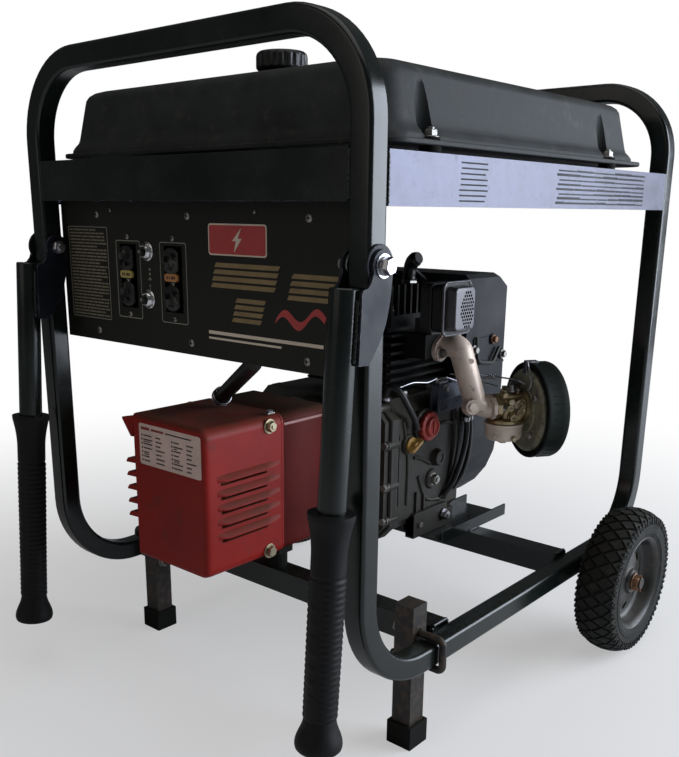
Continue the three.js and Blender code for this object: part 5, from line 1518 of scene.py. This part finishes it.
def build_linkage():
    """Throttle and choke levers, and the rods and spring between them and the governor."""
    for name, y, reach, z, sign in (("throttle", 14, 26, 24.3, 1), ("choke", 34, 28, 20.3, -1)):
        arm = Part(name + "_arm", name, CARB).use("steel")
        a, b = sorted((-4 * sign, sign * reach))
        arm.prism("z", rounded(a, b, y - 4, y + 4, 3.6, 5), z, z + 2.4)
        arm.rod("z", 2.5, z + 2, z + 9, (sign * (reach - 4), y), 20)
        arm.use("gold_zinc").rod("z", 4.2, z + 2.3, z + 4.0, (0, y), 24)
        arm.done(name + "_lever", bevel=0.25)

    links = Part("link_rods", "frame", CARB).use("zinc")
    rope_line(links, [(8, 40, 31), (2, 30, 36), (-14, 10, 38), (-34, -18, 37), (-52, -46, 38)], 1.15, 8)
    rope_line(links, [(14, 42, 24), (18, 44, 30), (16, 44, 44), (6, 43.2, 60)], 1.15, 8)
    rope_line(links, [(-6, 6, 27), (-20, -12, 31), (-40, -36, 30)], 0.9, 8)
    d = Vector((-14, -19.5, -1)).normalized()
    n = d.cross(Vector((0, 0, 1))).normalized()
    u = n.cross(d)
    for k in range(10):
        c = Vector((-16, 7.5, 38)).lerp(Vector((-30, -12, 37)), k / 10)
        loop = []
        for i in range(15):
            a = TAU * i / 14
            loop.append(c + d * (2.4 * i / 14) + n * (3.3 * math.cos(a)) + u * (3.3 * math.sin(a)))
        links.sweep(circle(0.6, 6), headed(loop))
    links.done(bevel=0, slot="plated_steel", angle=60)


# ------------------------------------------------------------------ oil fillers and breather
def build_fittings():
    cap = Part("oil_filler_cap", "oil_cap").use("plastic_red")
    face = 64.3
    n = 120
    rings = []
    y, z = OIL_CAP
    for r, x, dip in ((17.5, 0, 0), (19.6, 0.3, 0.3), (20.3, 1.2, 1.1), (20.5, 6.4, 1.1), (19.6, 7.8, 0.4),
                      (15.4, 8.4, 0), (14.0, 8.6, 0),
                      (13.8, 9.4, 0), (13.5, 13.0, 0), (12.6, 13.9, 0), (10.2, 13.9, 0), (9.6, 12.4, 0), (3, 12.4, 0)):
        ring = []
        for k in range(n):
            a = TAU * k / n
            reach = r - dip * 0.9 * max(0, math.cos(15 * TAU * k / n))
            ring.append((face + x, y + reach * math.cos(a), z + reach * math.sin(a)))
        rings.append(ring)
    cap.loft(rings)
    cap.prism("x", rounded(y - 1.5, y + 1.5, z - 9, z + 9, 1, 3), face + 12, face + 13.8)
    cap.done("oil_fill_cap", bevel=0, angle=46)

    plug = Part("oil_level_plug", "dipstick").use("plastic_yellow")
    low = 62.3
    plug.lathe("x", [(0, low), (10.6, low), (11, low + 1), (11, low + 3.6), (9.4, low + 4.6), (0, low + 4.6)],
               DIPSTICK, 40)
    y, z = DIPSTICK
    for turn in (0.5, 0.5 + math.pi):
        c, s = math.cos(turn), math.sin(turn)
        wing = []
        for x, reach, w in ((low + 4, 12.0, 3.0), (low + 9, 13.8, 2.8), (low + 13.4, 12.6, 2.4), (low + 15, 9.0, 1.8)):
            wing.append([(x, y + c * r - s * w * k, z + s * r + c * w * k)
                         for r, k in ((0, -1), (reach, -1), (reach, 1), (0, 1))])
        plug.loft(wing)
    plug.rod("x", 5.2, low + 4, low + 12, DIPSTICK, 28)
    plug.done("dipstick_plug", bevel=0.7, segments=3)

    hose = Part("breather_pipe").use("plastic")
    line = [(42, 322, 345.4), (42.5, 321, 356), (50, 322, 366), (61, 328, 359), (67, 338, 340), (70, 350, 320),
            (70, 356, 306)]
    rope_line(hose, line, 4.4, 20, 60)
    hose.done("breather_hose", bevel=0, angle=60)
    clips = Part("hose_clips").use("zinc")
    clips.lathe("z", [(4.5, 347), (5.9, 347), (5.9, 351.5), (4.5, 351.5)], (42.2, 321.8), 28)
    clips.box(36.4, 38.4, 319, 325, 347.5, 351)
    clips.done(bevel=0.3, slot="plated_steel")


# ------------------------------------------------------------------ studio
def build_studio():
    floor = bpy.data.meshes.new("studio_floor")
    bm = bmesh.new()
    bmesh.ops.create_grid(bm, x_segments=8, y_segments=8, size=14)
    bm.to_mesh(floor)
    bm.free()
    ground = link("studio_floor", floor)
    pale = surface("pale_floor", (0.86, 0.86, 0.87), 0.75, vary=0.012, scale=1.5, bump=0.02, specular=0.08,
                   rough_vary=0.03)
    floor.materials.append(pale)
    tree = pale.node_tree
    where = tree.nodes.new("ShaderNodeTexCoord")
    far = tree.nodes.new("ShaderNodeVectorMath")
    far.operation = "LENGTH"
    tree.links.new(where.outputs["Object"], far.inputs[0])
    fade = tree.nodes.new("ShaderNodeMapRange")
    fade.interpolation_type = "SMOOTHSTEP"
    fade.inputs["From Min"].default_value = 0.35
    fade.inputs["From Max"].default_value = 1.7
    fade.inputs["To Min"].default_value = 0.42
    tree.links.new(far.outputs["Value"], fade.inputs["Value"])
    sight = tree.nodes.new("ShaderNodeLightPath")
    seen_far = tree.nodes.new("ShaderNodeMath")
    seen_far.operation = "MULTIPLY"
    tree.links.new(fade.outputs["Result"], seen_far.inputs[0])
    tree.links.new(sight.outputs["Is Camera Ray"], seen_far.inputs[1])
    glow = tree.nodes.new("ShaderNodeEmission")
    glow.inputs["Strength"].default_value = 1.0
    blend = tree.nodes.new("ShaderNodeMixShader")
    tree.links.new(seen_far.outputs[0], blend.inputs[0])
    tree.links.new(tree.nodes["Principled BSDF"].outputs[0], blend.inputs[1])
    tree.links.new(glow.outputs[0], blend.inputs[2])
    tree.links.new(blend.outputs[0], tree.nodes["Material Output"].inputs["Surface"])

    world = bpy.data.worlds.new("studio")
    bpy.context.scene.world = world
    world.use_nodes = True
    tree = world.node_tree
    back = tree.nodes["Background"]
    back.inputs["Color"].default_value = (0.90, 0.93, 1.0, 1.0)
    back.inputs["Strength"].default_value = 0.075
    seen = tree.nodes.new("ShaderNodeBackground")
    seen.inputs["Color"].default_value = (1.0, 1.0, 1.0, 1.0)
    seen.inputs["Strength"].default_value = 1.0
    path = tree.nodes.new("ShaderNodeLightPath")
    choose = tree.nodes.new("ShaderNodeMixShader")
    tree.links.new(path.outputs["Is Camera Ray"], choose.inputs[0])
    tree.links.new(back.outputs[0], choose.inputs[1])
    tree.links.new(seen.outputs[0], choose.inputs[2])
    tree.links.new(choose.outputs[0], tree.nodes["World Output"].inputs["Surface"])

    def softbox(name, at, aim, size, power, color):
        lamp = bpy.data.lights.new(name, "AREA")
        lamp.shape = "RECTANGLE"
        lamp.size, lamp.size_y = size
        lamp.energy = power
        lamp.color = color
        obj = link(name, lamp)
        obj.location = at
        obj.rotation_euler = (Vector(aim) - Vector(at)).to_track_quat("-Z", "Y").to_euler()

    softbox("window_right", (2.3, 1.9, 1.05), (0.1, 0.1, 0.35), (2.6, 2.0), 118, (0.82, 0.89, 1.0))
    softbox("overhead", (0.4, -0.2, 2.8), (0, 0, 0.3), (2.6, 2.6), 19, (1.0, 0.98, 0.95))
    softbox("front_fill", (-0.6, -3.0, 1.5), (0, 0, 0.35), (2.4, 2.0), 8, (1.0, 0.93, 0.84))


def build_camera():
    """Placed where the photograph was taken from, fitted from the cradle's straight edges."""
    yaw, pitch, roll = 0.71266, 0.27350, 0.00876
    cam = bpy.data.cameras.new("camera")
    cam.sensor_width = 36.0
    cam.sensor_fit = "AUTO"
    cam.lens = 888.95 / 757 * 36.0
    cam.shift_x = (339.5 - 330.55) / 757
    cam.shift_y = (459.61 - 378.5) / 757
    cam.clip_start = 0.01
    obj = link("camera", cam)
    turn = Matrix.Rotation(yaw, 4, "Z") @ Matrix.Rotation(math.pi / 2 - pitch, 4, "X") @ Matrix.Rotation(roll, 4, "Z")
    obj.matrix_world = Matrix.Translation(to_row((749.6, -610.16, 592.05))) @ turn
    bpy.context.scene.camera = obj
    bpy.context.scene.view_settings.view_transform = "Standard"
    bpy.context.scene.view_settings.look = "None"


build_camera()
build_cradle()
build_rail_print()
build_feet()
build_handles()
build_wheels()
build_axle()
build_panel()
build_outlets()
build_breakers()
build_tank()
build_fuel_cap()
build_alternator()
build_adapter()
build_conduit()
build_engine()
build_engine_lines()
build_head_fittings()
build_muffler()
build_blower()
rope = build_recoil()
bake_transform(rope)
build_elbow()
build_carburettor()
build_air_cleaner()
build_linkage()
build_fittings()
build_studio()
